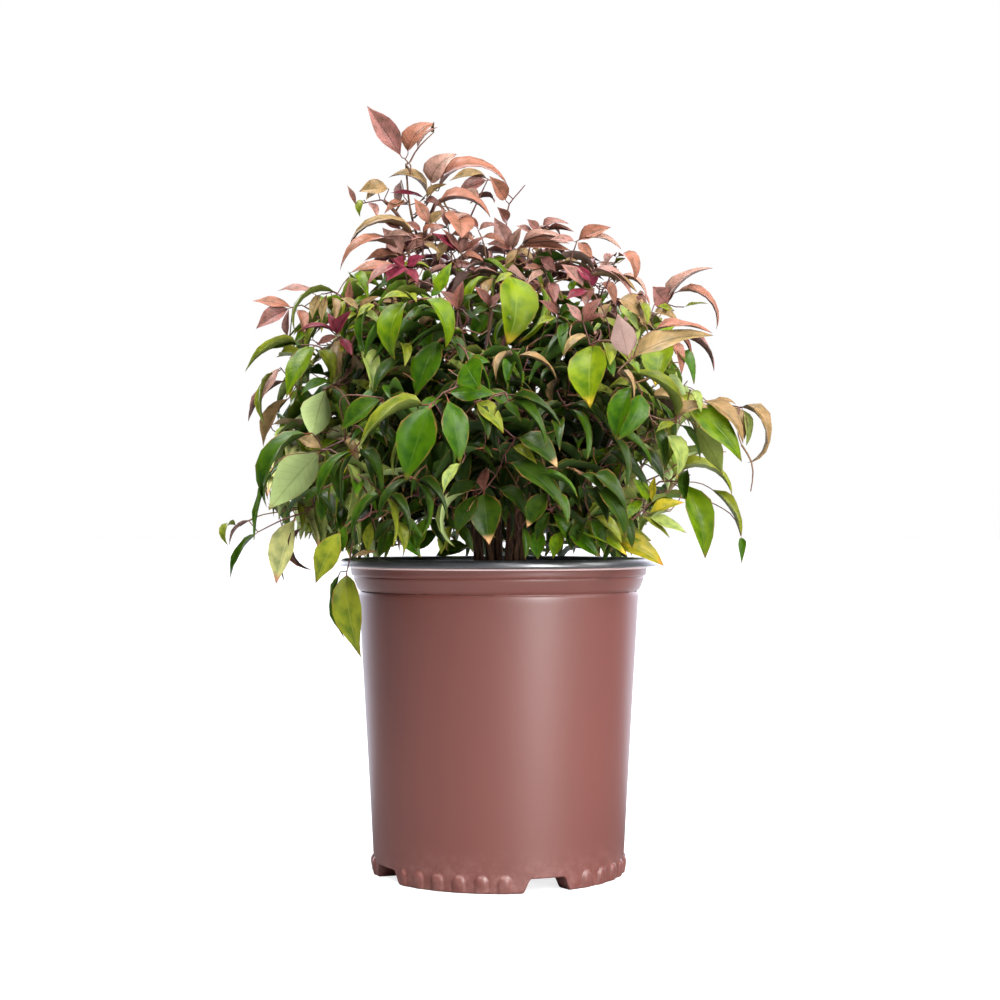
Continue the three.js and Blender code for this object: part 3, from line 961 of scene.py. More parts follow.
blade_dice = random.Random(3)
blades = []
for bend in BENDS:
    for twin in range(TWINS):
        lively = 0.25 if twin < 2 else 1.0
        blades.append(
            blade(
                f"blade_{len(blades):02d}",
                bend + lively * blade_dice.uniform(-9, 9),
                blade_dice.uniform(0.85, 1.5),
                lively * blade_dice.uniform(-34, 34),
                lively * blade_dice.uniform(-18, 18),
                blade_dice.uniform(0.04, 0.22),
                blade_dice.uniform(0.82, 1.2),
            )
        )
print(len(blades), "blades of", len(blades[0][0].data.polygons), "faces")

# %% [markdown]
# ## Placing a leaflet
#
# A leaflet is placed by its foot, its tip and the way its upper side looks. Every leaflet, whether
# listed or grown by rule, goes through the same call, which notes its turn and size, and
# keeps a few points along it so that later ones can stay clear.

# %% Leaflets and what they must miss
leaves = []  # one entry for each leaflet: place, turn, size, blade, tint, mass
up_axis = Vector((0, 0, 1))


class Crowd:
    """Points along the leaflets that are placed."""

    def __init__(self, room=150000):
        self.points, self.count = np.empty((room, 3)), 0

    def add(self, points):
        self.points[self.count : self.count + len(points)] = points
        self.count += len(points)

    def near(self, place, reach):
        points = self.points[: self.count]
        return points[((points - np.array(place)) ** 2).sum(axis=1) < reach**2]


taken = Crowd()


def turn_of(foot, tip, face, which):
    """The turn and length that lay a blade from foot to tip with its upper side towards "face"."""
    _, blade_tip, blade_up, _ = blades[which]

    def frame_of(chord, side_up):
        c = chord.normalized()
        f = side_up - c * side_up.dot(c)
        f = f.normalized() if f.length > 1e-4 else c.orthogonal().normalized()
        return Matrix((c, f, c.cross(f))).transposed()

    there, here = frame_of(tip - foot, face), frame_of(blade_tip, blade_up)
    return (there @ here.transposed()).to_quaternion(), (tip - foot).length / blade_tip.length


def nearest_bend(bend):
    return min(range(len(BENDS)), key=lambda k: abs(BENDS[k] - bend)) * TWINS


def points_along(foot, turn, size, which, width=1.0):
    return [foot + turn @ Vector((p.x * width, p.y, p.z)) * size for p in blades[which][3]]


def in_pot(p):
    """True inside the pot's wall, lip or mix, with a little room."""
    x, y, z = p.x / MM, p.y / MM, p.z / MM
    r = math.hypot(x, y)
    if z > POT_HEIGHT + 1.0 or (r < 74.0 and z > MIX_TOP + 2.0):
        return False
    return r < (LIP_RADIUS if z > 156 else float(wall_radius(max(z, 0)))) + 1.3


# %% [markdown]
# ## Twigs
#
# Every group of leaflets sits on a twig, and every twig branches from a limb or from another twig.
# The limbs start a net of points. A new twig leaves the nearest point of the net, bends towards its
# joint, and adds its own points to the net.

# %% The net of limbs
TWIG_FOOT, TWIG_TIP, TWIG_STEPS = 0.00055, 0.00030, 7
LOWEST_TWIG = 0.185  # no twig leaves a limb below this height
RUN_COST = 0.25  # how much a long run back to the limb counts against a starting point
tubes = []  # every twig as a list of (place, radius)
limb_net = []  # place, heading, run from the limb, radius
for line in [*canes.values(), *stalks.values()]:
    for (a, _), (b, radius) in zip(line, line[1:]):
        if b.z > LOWEST_TWIG:
            limb_net.append((b, (b - a).normalized(), 0.0, min(radius, TWIG_FOOT)))


def arc(start, way_out, end, way_in, steps=TWIG_STEPS):
    reach = (end - start).length
    return interpolate_bezier(start, start + way_out * reach * 0.4, end - way_in * reach * 0.4, end, steps)


def reach_joint(net, joint, way):
    """Adds a twig from the nearest point of a net of twigs to a joint, and its points to the net."""
    start, heading, run, radius = min(net, key=lambda spot: (spot[0] - joint).length + RUN_COST * spot[2])
    gap = joint - start
    if gap.length < 1e-5:
        return
    way_out = (gap.normalized() * 0.7 + heading * 0.5 + up_axis * 0.25).normalized()
    curve = arc(start, way_out, joint, way)
    foot = min(radius, TWIG_FOOT)
    line = []
    for k, p in enumerate(curve):
        share = k / (len(curve) - 1)
        line.append((p, foot + (TWIG_TIP - foot) * share))
        if k:
            net.append((p, (p - curve[k - 1]).normalized(), run + gap.length * share, line[-1][1]))
    tubes.append(line)


# %% [markdown]
# ## Listed sprays
#
# The sprays that give the plant its outline, and the big leaves at its front, are set one leaflet
# at a time. Each spray is a stem and its leaflets, written as spots in the camera's picture. A
# leaflet has the spots of its foot and tip, the roll of its upper side (0 looks up or outwards in
# the picture, 90 looks at the camera, and less than 0 shows the underside), its arch in degrees (the
# hump is on the upper, outer side, or on the other one if it is below 0), its width, and its tint.
# How far back a spray stands comes from the front of the masses. A number before the stem pushes it
# further back by that many millimetres, or forward if it is below 0. Each stem is then joined to the
# net of twigs, so that it sits on the plant from every side.

# %% The sprays
AT_FRONT = 8.0  # mm behind the front of the masses
TOP_SPRAYS = [
    (0, [(411, 176), (410, 162), (404, 158)], [
        (402, 158, 367, 106, 76, 30, 1.0, "coral"), (408, 154, 435, 124, 52, 102, 1.35, "copper")]),
    (-6.5, [(410, 162), (418, 148), (434, 132)], [
        (417, 149, 438, 127, 35, 52, 0.8, "rose"), (433, 133, 434, 121, 70, 8, 0.7, "bronze")]),
    (0, [(414, 218), (426, 206), (431, 196), (431, 184)], [
        (431, 184, 457, 154, 58, 102, 1.45, "rose"), (438, 191, 508, 186, 30, 132, 0.9, "copper"),
        (426, 199, 447, 184, 50, 52, 1.0, "bronze"), (424, 203, 446, 212, 50, 76, 0.9, "maroon")]),
    (3, [(506, 237), (506.5, 221), (508.5, 206), (513, 199), (521, 190), (525, 185)], [
        (488, 179, 449, 181, 42, 52, 0.8, "bronze"), (488, 180, 456, 195, 62, 30, 1.1, "coral"),
        (506, 201, 489, 176, 70, 30, 1.3, "copper"), (507, 222, 497, 207, 70, 30, 1.2, "maroon")]),
    (2, [(470, 218), (480, 196), (488, 179)], [(479, 198, 466, 189, 50, 30, 1.2, "rose")]),
    (0, [(419, 238), (414, 225), (410, 205), (404, 197)], [
        (427, 194, 388, 178, 28, 102, 1.15, "bronze"), (401, 180, 398, 209, -60, 30, 1.0, "plum"),
        (425, 198, 389, 193, 35, 30, 0.6, "crimson"), (409, 205, 384, 214, 45, 52, 1.0, "copper"),
        (412, 215, 437, 224, 50, 52, 1.0, "plum")]),
    (0, [(404, 200), (393, 205), (384, 200), (369, 202), (356, 205)], [
        (389, 189, 359, 192, 60, 52, 1.5, "bronze"), (364, 200, 360, 217, 50, 76, 1.5, "olive"),
        (378, 192, 366, 200, 50, 40, 1.3, "bronze"),
        (355.5, 205, 347, 185, 60, 30, 0.8, "maroon"), (369.5, 202, 377, 217, 60, 30, 1.1, "plum")]),
    (2, [(412, 262), (409, 250), (416, 238)], [
        (416, 238, 348, 253, 25, 132, 0.6, "bronze"), (403, 254.5, 382, 228, 75, 40, 1.5, "plum"),
        (402, 230, 381, 221, 50, 30, 1.1, "maroon"), (399, 254.5, 340, 271, 30, 132, 0.7, "copper"),
        (401, 257, 364, 261, 45, 52, 0.9, "copper"), (413, 240, 383, 238, 40, 76, 0.8, "rose")]),
    (3, [(408, 285), (404, 268)], [
        (405, 266, 393, 259, 60, 30, 1.8, "crimson"), (406, 266, 425, 256, 60, 30, 1.4, "magenta"),
        (405, 267, 386, 282, 60, 30, 1.5, "magenta"), (400, 270, 348, 274, 35, 52, 0.8, "copper"),
        (406, 268, 418, 284, 60, 40, 1.2, "crimson"), (403, 270, 366, 287, 40, 76, 0.8, "coral")]),
    (2, [(436, 240), (430, 225), (436, 205)], [
        (429, 225, 414, 198, 70, 30, 1.2, "copper"), (429, 225, 447, 210, 60, 40, 1.3, "bronze"),
        (436, 206, 490.5, 218, 32, 102, 0.8, "copper"), (455.6, 210, 461.4, 239, 72, 30, 1.75, "copper", 12),
        (405, 254.5, 431, 242, 50, 40, 0.9, "plum")]),
    (3, [(462, 268), (461, 254)], [
        (461, 254.5, 429.5, 232, 45, 40, 0.7, "crimson"), (461, 254.5, 441, 228, 50, 30, 0.7, "maroon"),
        (461, 254.5, 486, 236, 50, 40, 0.8, "maroon"), (461, 255, 470, 230, 60, 30, 1.0, "plum"),
        (461, 256, 484, 262, 45, 76, 0.9, "copper")]),
    (2, [(513, 264), (510, 251)], [
        (510, 251.5, 494, 217, 75, 30, 1.3, "plum"), (512, 250, 522, 226, 70, 30, 1.1, "rose"),
        (509, 253, 486, 244, 50, 52, 1.0, "maroon"), (512, 254, 534, 262, 45, 76, 0.9, "bronze")]),
    (2, [(547, 252), (541, 231)], [
        (540, 232, 527, 219, 60, 20, 1.5, "maroon"), (542.5, 230.6, 569, 224, 40, 76, 1.1, "plum"),
        (545, 231, 574, 232, 30, 40, 0.6, "maroon"), (543, 233, 549, 252, 60, 40, 1.2, "rose")]),
    (2, [(570, 262), (577, 241)], [
        (577, 241, 611, 227, 60, 40, 1.2, "copper"), (577, 241, 621.6, 250, 35, 76, 0.7, "rose"),
        (577, 242, 593, 259, 62, 30, 1.3, "copper"), (575, 242, 549, 240, 50, 52, 1.0, "plum")]),
    (3, [(514, 262), (520, 247)], [
        (520, 246, 565, 238, 38, 52, 0.7, "rose"), (520, 247, 570, 244, 45, 30, 0.6, "rose"),
        (520, 248, 571, 251, 58, 30, 0.7, "copper"), (518, 249, 505, 266, 60, 40, 1.2, "bronze")]),
    (0, [(606, 288), (612, 270), (617, 257)], [
        (617, 257, 634, 281, 45, 132, 1.2, "copper"), (616, 257, 606, 267, 50, 102, 1.3, "plum"),
        (614, 265, 599, 273, 45, 52, 1.2, "rose"), (615, 264, 625, 258, 50, 30, 1.0, "olive")]),
    (3, [(560, 300), (549, 282), (540, 258)], [
        (540, 258, 556, 272, 62, 30, 1.4, "coral"), (549, 282, 555, 304, 70, 30, 1.1, "coral"),
        (546, 276, 526, 286, 50, 76, 1.0, "rose"), (544, 268, 522, 268, 50, 40, 1.0, "copper")]),
    (1, [(600, 304), (592, 290)], [
        (584, 288, 561, 264, 55, 30, 1.3, "plum"), (592, 284, 575, 266, 62, 30, 1.2, "magenta"),
        (591, 288, 600, 270, 62, 30, 1.1, "magenta"), (588, 272, 632, 297, 35, 76, 0.65, "plum"),
        (590, 276, 637, 293, 30, 52, 0.4, "bronze"), (588, 290, 566, 300, 50, 40, 1.2, "crimson"),
        (594, 290, 586, 308, 60, 40, 1.2, "maroon")]),
    (-1, [(598, 300), (600, 284)], [
        (600, 283, 615, 307, 60, 76, 0.9, "copper"), (577, 279, 573, 297, 60, 52, 0.9, "lime"),
        (608, 292, 602, 305, 60, 40, 1.0, "lime"), (580, 301, 573, 312, 60, 40, 1.0, "lime")]),
    (4, [(590, 345), (583, 322)], [
        (583, 322, 602, 298, 62, 30, 1.2, "maroon"), (582, 322, 566, 303, 62, 30, 1.1, "plum"),
        (584, 323, 606, 316, 50, 52, 1.0, "maroon")]),
]
FILL_SPRAYS = [
    (6, [(452, 262), (450, 240), (448, 226)], [
        (448, 226, 470, 214, 50, 52, 1.0, "rose"), (448, 228, 428, 236, 45, 52, 1.0, "plum"),
        (449, 236, 476, 243, 45, 76, 0.9, "copper"), (450, 240, 437, 262, 60, 40, 1.1, "bronze"),
        (447, 228, 441, 208, 65, 30, 1.1, "plum")]),
    (5, [(486, 262), (484, 244), (478, 230)], [
        (478, 230, 462, 218, 50, 52, 1.1, "maroon"), (478, 231, 500, 226, 45, 52, 1.0, "plum"),
        (481, 238, 506, 246, 45, 76, 0.9, "copper"), (482, 243, 466, 260, 55, 52, 1.1, "plum")]),
    (6, [(420, 262), (424, 246), (421, 232)], [
        (421, 232, 404, 222, 50, 52, 1.1, "maroon"), (422, 233, 438, 224, 50, 40, 1.0, "copper"),
        (423, 240, 396, 246, 45, 76, 0.9, "plum"), (423, 244, 440, 254, 50, 52, 1.0, "bronze")]),
    (5, [(527, 262), (530, 246), (533, 236)], [
        (533, 236, 516, 226, 50, 52, 1.1, "plum"), (534, 236, 556, 229, 45, 52, 0.9, "rose"),
        (531, 243, 552, 256, 50, 76, 1.0, "maroon"), (530, 246, 514, 258, 50, 52, 1.0, "bronze")]),
    (24, [(456, 332), (458, 310)], [
        (458, 310, 438, 290, 50, 52, 1.1, "maroon"), (458, 310, 478, 294, 50, 52, 1.1, "deep"),
        (459, 311, 463, 281, 62, 40, 1.2, "maroon"), (457, 313, 436, 318, 50, 52, 1.0, "deep"),
        (459, 313, 481, 322, 50, 52, 1.0, "dark")]),
    (22, [(488, 330), (490, 308)], [
        (490, 308, 474, 286, 55, 40, 1.1, "maroon"), (491, 308, 508, 292, 50, 52, 1.0, "plum"),
        (490, 310, 470, 318, 50, 52, 1.0, "deep"), (491, 311, 512, 320, 50, 52, 1.1, "mid")]),
    (20, [(556, 336), (558, 316)], [
        (558, 316, 538, 300, 50, 52, 1.1, "maroon"), (559, 316, 580, 304, 50, 52, 1.0, "deep"),
        (557, 318, 536, 326, 50, 52, 1.0, "olive"), (559, 318, 582, 328, 50, 76, 1.0, "mid")]),
    (16, [(357, 330), (359, 312)], [
        (359, 312, 340, 298, 50, 52, 1.0, "tan"), (360, 312, 380, 296, 50, 52, 1.0, "bronze"),
        (358, 314, 338, 322, 50, 52, 1.0, "olive"), (360, 315, 382, 326, 50, 52, 1.0, "pale")]),
]
SIDE_SPRAYS = [
    (0, [(640, 322), (655, 316), (667, 304)], [
        (667, 304, 652, 287, 80, 20, 2.3, "coral", 9), (668, 302, 713, 268, 40, 76, 0.55, "rose"),
        (674, 293, 716, 330, 32, 132, 0.5, "copper"), (684, 307, 708, 303.5, 35, 30, 0.6, "olive"),
        (668, 304, 674, 283, 62, 30, 1.3, "coral"), (674, 311, 657, 306, 50, 30, 1.1, "olive")]),
    (2, [(622, 330), (616, 312), (617, 301)], [
        (617, 300, 646, 326, 50, 102, 1.4, "bronze"), (638, 303, 647, 326, 60, 76, 0.8, "olive"),
        (634, 305, 647.4, 296, 50, 30, 1.0, "plum"), (612, 304, 604, 324, 55, 52, 1.1, "bronze")]),
    (0, [(630, 360), (618, 371)], [
        (628, 358.5, 617.5, 313.5, -84, 20, 1.55, "rose"), (630, 360, 714, 336, 50, 52, 0.74, "tan"),
        (652, 331, 713, 334, 32, 52, 0.6, "copper"), (630, 362, 640, 374, 60, 40, 1.1, "lime")]),
    (0, [(655, 350), (664, 341), (678, 336)], [
        (663, 342, 656.3, 387, 76, 40, 1.4, "spring", 14), (684, 337, 714, 372, 20, 76, 0.32, "plum"),
        (680, 337, 690.6, 359, 45, 52, 0.5, "maroon"), (669, 342, 681, 375, 60, 52, 0.75, "copper"),
        (652, 314, 679, 324, 42, 76, 1.4, "bronze"), (676, 354, 694, 385, 55, 76, 0.9, "bright")]),
    (0, [(668, 425), (675, 421), (688, 408)], [
        (675, 421, 620, 373, 30, 102, 0.5, "olive"), (687, 406, 742, 462, 58, 52, 1.05, "lime"),
        (700, 401, 743, 444, 42, 76, 0.9, "bronze"), (694, 424, 723, 475.7, -55, 30, 1.15, "olive"),
        (679.7, 423.6, 700, 460.6, 45, 52, 0.6, "deep"), (676, 420, 711, 409, 45, 102, 1.1, "tan"),
        (690, 390, 701, 413, 60, 52, 0.9, "pale"), (676, 424, 655, 433, 50, 52, 1.0, "olive")]),
    (0, [(700, 408), (720, 404), (738, 407)], [
        (738, 407, 746.5, 463, 38, 165, 0.45, "bronze"), (742, 408, 746, 446, 60, 52, 0.7, "pale"),
        (713, 406, 736, 405, 45, 102, 0.9, "bronze"), (728, 405, 744, 440, 50, 76, 0.8, "tan")]),
    (-3, [(741.5, 444.8), (751, 460.6), (753, 475), (750.6, 491.5)], []),
    (2, [(645, 440), (664, 434)], [
        (665, 435, 675, 477, 50, 132, 1.0, "pale"), (652, 422, 664, 469, 55, 52, 0.8, "deep"),
        (642, 441, 665, 484, -60, 40, 0.8, "pale"), (632, 448, 664, 483, 50, 52, 0.8, "dark"),
        (606, 450, 650, 495, 48, 52, 0.75, "dark")]),
    (0, [(655, 470), (669, 481)], [
        (672, 478, 732, 496, 32, 132, 0.5, "olive"), (682, 481, 705, 559, 66, 52, 0.95, "lime"),
        (710, 488, 741, 537, 45, 52, 0.5, "olive"), (741, 536, 741.5, 564, 75, 8, 0.75, "bright"),
        (688, 468, 686, 502, 60, 30, 1.0, "mid")]),
    (4, [(632, 520), (646, 507)], [
        (649, 514, 684.5, 502.4, 50, 40, 1.1, "gold"), (647, 517, 686.6, 533, 50, 40, 0.95, "pale"),
        (641, 516, 670, 538, 42, 40, 0.7, "olive"), (642, 499, 626.4, 521, 60, 40, 1.2, "lime"),
        (648, 502, 632, 477, 62, 30, 1.0, "lime"), (652, 502, 655, 476, 62, 30, 1.0, "gold")]),
    (14, [(600, 530), (608, 543)], [
        (608, 540, 664, 566, 60, 52, 1.05, "gold"), (602, 534, 652, 541, 60, 52, 1.2, "olive")]),
    (4, [(575, 470), (588, 478)], [
        (590, 475, 627, 514, 48, 76, 0.9, "deep"), (590, 485, 625.5, 539, 50, 76, 0.9, "deep"),
        (582, 487, 608, 524, 50, 52, 0.9, "dark"), (578, 474, 607, 500, 45, 52, 0.9, "deep")]),
    (0, [(322, 322), (305, 306), (293, 307)], [
        (292.5, 308, 252, 301, 45, 40, 1.0, "copper"), (290, 308, 256, 329, 62, 40, 1.25, "coral"),
        (316, 295, 277, 291, 35, 52, 0.9, "plum"), (288, 338, 289, 309, 62, 30, 0.8, "plum"),
        (296, 309, 304, 334, 60, 40, 1.0, "copper")]),
    (0, [(352, 312), (338, 293), (324, 294)], [
        (338, 293, 296, 334, 10, 132, 1.0, "olive"), (321, 294, 312, 321, 60, 52, 0.9, "tan"),
        (327, 294, 322, 323, 62, 40, 0.8, "tan"), (332, 296, 334, 322, 62, 30, 0.8, "bronze"),
        (350, 307, 350, 280, 70, 30, 0.9, "copper"), (349, 277, 368, 300, 52, 76, 1.0, "lime"),
        (345, 300, 340, 322, 60, 40, 1.2, "olive")]),
    (1, [(352, 345), (337, 334)], [
        (336, 332.5, 296, 334, 32, 76, 0.5, "crimson"), (337, 335, 352, 310, 62, 30, 1.0, "crimson"),
        (337, 335, 327, 312, 60, 30, 1.1, "crimson"), (338, 337, 316, 346, 50, 52, 1.1, "maroon"),
        (340, 338, 352, 356, 60, 40, 1.1, "crimson")]),
    (0, [(335, 358), (318, 346), (303, 345)], [
        (301, 345, 245, 373, 30, 76, 0.5, "olive"), (316, 345, 286, 399, 58, 52, 0.95, "lime"),
        (320, 349, 334, 380, 60, 52, 1.0, "olive"), (304, 346, 262, 352, 40, 52, 0.8, "mid")]),
    (0, [(318, 400), (296, 386), (281, 368)], [
        (281, 367, 261, 401, 55, 30, 0.8, "rose"), (281, 369.5, 265.7, 428, 20, 76, 0.5, "olive"),
        (290, 397, 263, 447, 48, 52, 0.85, "bronze"), (286, 380, 248, 422, 15, 52, 0.35, "plum"),
        (298, 388, 306, 420, 60, 52, 1.1, "mid")]),
    (2, [(345, 378), (327, 388)], [
        (327, 387, 312, 438, -76, 30, 1.5, "pale", 10), (330, 388, 343, 420, 55, 52, 1.0, "mid"),
        (333, 384, 300, 396, 45, 76, 0.9, "mid")]),
    (1, [(345, 440), (322, 450)], [
        (322, 450, 268, 510, -78, 30, 1.35, "pale"), (312, 433, 267, 508, 35, 102, 0.8, "mid"),
        (322, 449, 295, 436, 62, 20, 1.2, "tan"), (274, 466, 254, 543, 15, 40, 0.3, "mid"),
        (326, 452, 334, 492, 60, 52, 1.0, "deep")]),
]
LOW_SPRAYS = [
    (0, [(340, 500), (316, 507), (285, 511), (258, 516), (240, 526)], [
        (237, 526, 229, 546, 40, 165, 0.9, "olive"), (252, 520, 229.5, 546, 15, 76, 0.3, "plum"),
        (258, 532, 229.4, 580, 38, 52, 0.55, "mid"), (296, 516, 276, 584.5, 66, 30, 1.05, "sere"),
        (283, 540, 284.6, 582.6, 15, -30, 0.3, "bronze"), (303, 527, 312.4, 569.7, 20, -132, 0.55, "maroon"),
        (297, 500, 302, 531, 50, 20, 0.7, "olive"), (312, 503, 323, 548, 60, 30, 0.8, "pale")]),
    (0, [(300, 514), (282, 520), (258, 532)], []),
    (3, [(345, 478), (320, 490)], [
        (316, 492, 335, 518, 50, 30, 1.2, "dark"), (324, 486, 303, 505, 50, 52, 1.0, "deep"),
        (330, 485, 322, 524, 60, 40, 1.1, "mid")]),
    (-12, [(362, 520), (350, 522), (343, 530)], [
        (342, 530, 315.5, 583.5, 66, 40, 1.25, "olive"), (345, 524, 343, 553, 60, 30, 1.2, "mid")]),
    (14, [(385, 515), (373, 520)], [
        (372, 520, 368, 554, 62, 30, 1.0, "olive"), (378, 552, 352, 557, 40, 30, 0.8, "bronze"),
        (388, 530, 379, 560, 50, 30, 0.9, "deep")]),
    (-20, [(352, 545), (350, 558), (347, 571)], [
        (347, 571, 361, 658, 66, -52, 0.95, "olive"), (340, 572, 345, 640, 20, -52, 0.5, "mid")]),
    (16, [(455, 540), (470, 548)], [
        (470, 547, 434, 559, 50, 40, 1.3, "lime"), (440, 530, 410, 553, 55, 40, 1.3, "bright"),
        (433, 517, 402, 559, 18, 52, 0.35, "pale")]),
    (15, [(400, 503), (398, 519)], [
        (398, 519, 374, 545, 50, 52, 0.9, "deep"), (398, 520, 404, 553, 60, 52, 1.0, "olive"),
        (399, 519, 424, 541, 50, 52, 0.9, "mid")]),
    (18, [(430, 500), (428, 516)], [
        (428, 516, 416, 552, 60, 40, 1.0, "mid"), (428, 517, 447, 551, 60, 52, 1.0, "dark"),
        (430, 515, 459, 533, 50, 52, 0.9, "deep")]),
    (14, [(452, 508), (454, 524)], [
        (454, 524, 441, 555, 60, 52, 1.1, "olive"), (455, 525, 473, 553, 55, 52, 1.0, "deep")]),
    (18, [(548, 495), (551, 510)], [
        (551, 511, 536, 543, 58, 52, 1.0, "deep"), (551, 512, 571, 549, 58, 52, 1.0, "mid"),
        (553, 511, 589, 529, 45, 52, 0.9, "dark")]),
    (15, [(585, 500), (590, 516)], [
        (590, 516, 571, 551, 58, 52, 1.0, "deep"), (590, 517, 604, 555, 60, 52, 1.0, "mid"),
        (592, 516, 622, 544, 50, 52, 0.9, "olive")]),
    (12, [(612, 498), (616, 511)], [
        (616, 511, 601, 539, 58, 52, 1.0, "mid"), (616, 512, 632, 549, 58, 52, 1.0, "deep")]),
    (14, [(392, 512), (396, 528)], [
        (396, 529, 380, 557, 62, 40, 1.4, "mid"), (397, 530, 421, 558, 58, 40, 1.4, "bright")]),
    (14, [(558, 503), (565, 528)], [
        (565, 529, 599, 557, 60, 40, 1.4, "bright"), (564, 530, 553, 559, 60, 40, 1.4, "lime"),
        (566, 529, 628, 556, 34, 40, 1.2, "spring")]),
    (16, [(530, 515), (545, 524)], [
        (540, 527, 538, 560, 70, 30, 1.5, "bright"), (552, 534, 601, 557, 45, 52, 1.1, "mid"),
        (545, 524, 607, 545, 25, 30, 0.5, "olive"), (522, 526, 525, 559, 60, 30, 0.8, "mid")]),
]
FRONT_SPRAYS = [
    (-62, [(526, 306), (520, 280), (512, 275)], [
        (509, 274, 507, 347, 62, -76, 1.45, "spring"), (541, 284, 516, 343, 25, -76, 0.4, "spring"),
        (514, 274, 494, 284, 50, 52, 1.0, "olive")]),
    (-48, [(503, 304), (501, 286), (493, 279)], [
        (494, 279, 474, 319, 32, 132, 0.75, "spring"), (489, 313, 472, 338, 65, 40, 1.6, "bright"),
        (494, 279, 487, 300, 60, 52, 1.0, "bronze")]),
    (0, [(440, 300), (425, 298), (412, 301)], [
        (422, 299, 445, 349, 42, 102, 1.1, "lime"), (411, 302, 396, 362, 48, 102, 1.2, "lime"),
        (436, 297, 452, 262, 62, 30, 1.1, "lime"), (430, 298, 448, 284, 50, 40, 1.2, "bright"),
        (412, 302, 380, 300, 35, 76, 0.9, "olive")]),
    (1, [(390, 320), (376, 303)], [
        (374, 303, 366, 354, 35, 76, 0.7, "mid"), (376, 305, 356, 318, 50, 52, 1.1, "olive"),
        (378, 305, 390, 332, 55, 52, 1.0, "mid")]),
    (0, [(455, 350), (441, 338)], [
        (441, 338, 415, 399, 62, 40, 1.2, "bright"), (445, 338, 462, 364, 50, 76, 1.0, "deep")]),
    (0, [(455, 388), (444, 392), (434, 402)], [
        (432, 403, 406, 482, 72, 30, 1.35, "bright"), (447, 397, 460, 464, 66, 40, 1.2, "bright"),
        (462, 463, 443, 495, 50, 52, 0.9, "pale"), (428, 405, 358, 452, 32, 76, 0.65, "olive")]),
    (2, [(460, 378), (466, 362)], [
        (466, 361, 481, 390, 104, 30, 1.8, "bright", 16), (447, 393, 496, 394, 62, 40, 1.3, "bright"),
        (468, 362, 490, 362, 55, 40, 1.5, "bright")]),
    (4, [(478, 388), (474, 402)], [
        (474, 402, 504, 434, 50, 52, 1.3, "olive"), (476, 402, 488, 440, 55, 52, 1.0, "deep")]),
    (1, [(505, 430), (515, 438)], [
        (516, 438, 558, 468, 52, 76, 1.3, "scorched"), (512, 446, 537, 464, 60, 30, 1.0, "olive"),
        (506, 462, 567, 514, 46, 52, 0.95, "deep")]),
    (3, [(538, 480), (549, 490)], [
        (549, 491, 527, 528, 66, 40, 1.4, "scorched"), (551, 492, 568, 524, 50, 52, 1.0, "mid")]),
    (3, [(496, 475), (486, 488)], [
        (484, 491, 490, 545, 96, 40, 1.55, "scorched", 10), (479, 482, 446, 498, 50, 40, 1.2, "dark"),
        (486, 468, 485, 492, 60, 30, 1.2, "maroon"), (475, 490, 455, 547, 10, 132, 0.45, "pale"),
        (496, 488, 528, 519, 50, 76, 1.1, "deep"), (478, 494, 456, 536, 58, 40, 1.2, "deep")]),
    (0, [(600, 330), (593, 342)], [
        (594, 343, 591.6, 408.6, 70, 52, 1.5, "spring"), (592, 340, 563, 359, 40, 102, 0.8, "tan"),
        (600, 350, 614, 378, 60, 40, 1.1, "bright"), (603, 342, 610, 366, 60, 40, 1.2, "olive")]),
    (0, [(648, 378), (633, 384)], [
        (633, 384, 616, 441, 60, 52, 1.1, "bright"), (642, 392, 617, 441, 66, -52, 1.2, "bright"),
        (617, 372, 634, 399, 35, 76, 0.6, "bronze")]),
    (2, [(356, 395), (383, 398)], [
        (383, 398, 340, 431, 58, 40, 1.2, "mid"), (384, 400, 372, 440, 58, 52, 1.1, "deep")]),
    (3, [(505, 392), (508, 400)], [
        (508, 400, 562, 428, 38, 76, 0.5, "deep"), (509, 401, 547, 448, 45, 76, 0.55, "mid"),
        (507, 401, 502, 455, 35, 76, 0.5, "dark")]),
    (3, [(560, 398), (566, 406)], [
        (566, 406, 614, 438, 38, 76, 0.5, "deep"), (566, 408, 586, 462, 45, 76, 0.5, "mid"),
        (565, 406, 528, 438, 38, 76, 0.5, "deep")]),
    (4, [(600, 424), (606, 431)], [
        (606, 431, 652, 468, 40, 76, 0.5, "mid"), (606, 433, 624, 492, 42, 76, 0.5, "deep")]),
    (3, [(420, 470), (414, 478)], [
        (414, 478, 378, 522, 40, 76, 0.55, "deep"), (415, 479, 421, 537, 30, 76, 0.45, "mid"),
        (416, 479, 448, 520, 42, 76, 0.5, "deep")]),
    (2, [(362, 440), (354, 450)], [
        (354, 450, 318, 504, 42, 76, 0.6, "mid"), (355, 452, 348, 514, 30, 76, 0.5, "deep"),
        (356, 451, 382, 502, 45, 76, 0.6, "mid")]),
    (4, [(388, 486), (384, 494)], [
        (384, 494, 352, 540, 42, 76, 0.55, "mid"), (385, 495, 392, 548, 35, 52, 0.5, "olive"),
        (386, 494, 410, 538, 42, 76, 0.55, "deep")]),
]

# %% Setting them
FORWARD = 6.0  # mm that a tip stands nearer the camera than its foot
DRIFT_SHARE, MOST_DRIFT = 0.4, 6.0  # how far a tip follows the front of the masses, in mm
STALK_GAP = 0.0006  # a foot further than this from its stem gets a stalk
guard = {}  # how far back a listed leaflet stands, in cells of the picture
CELL = 6


def guard_cell(p):
    column, row = spot_of(p)
    return int(column / CELL), int(row / CELL)


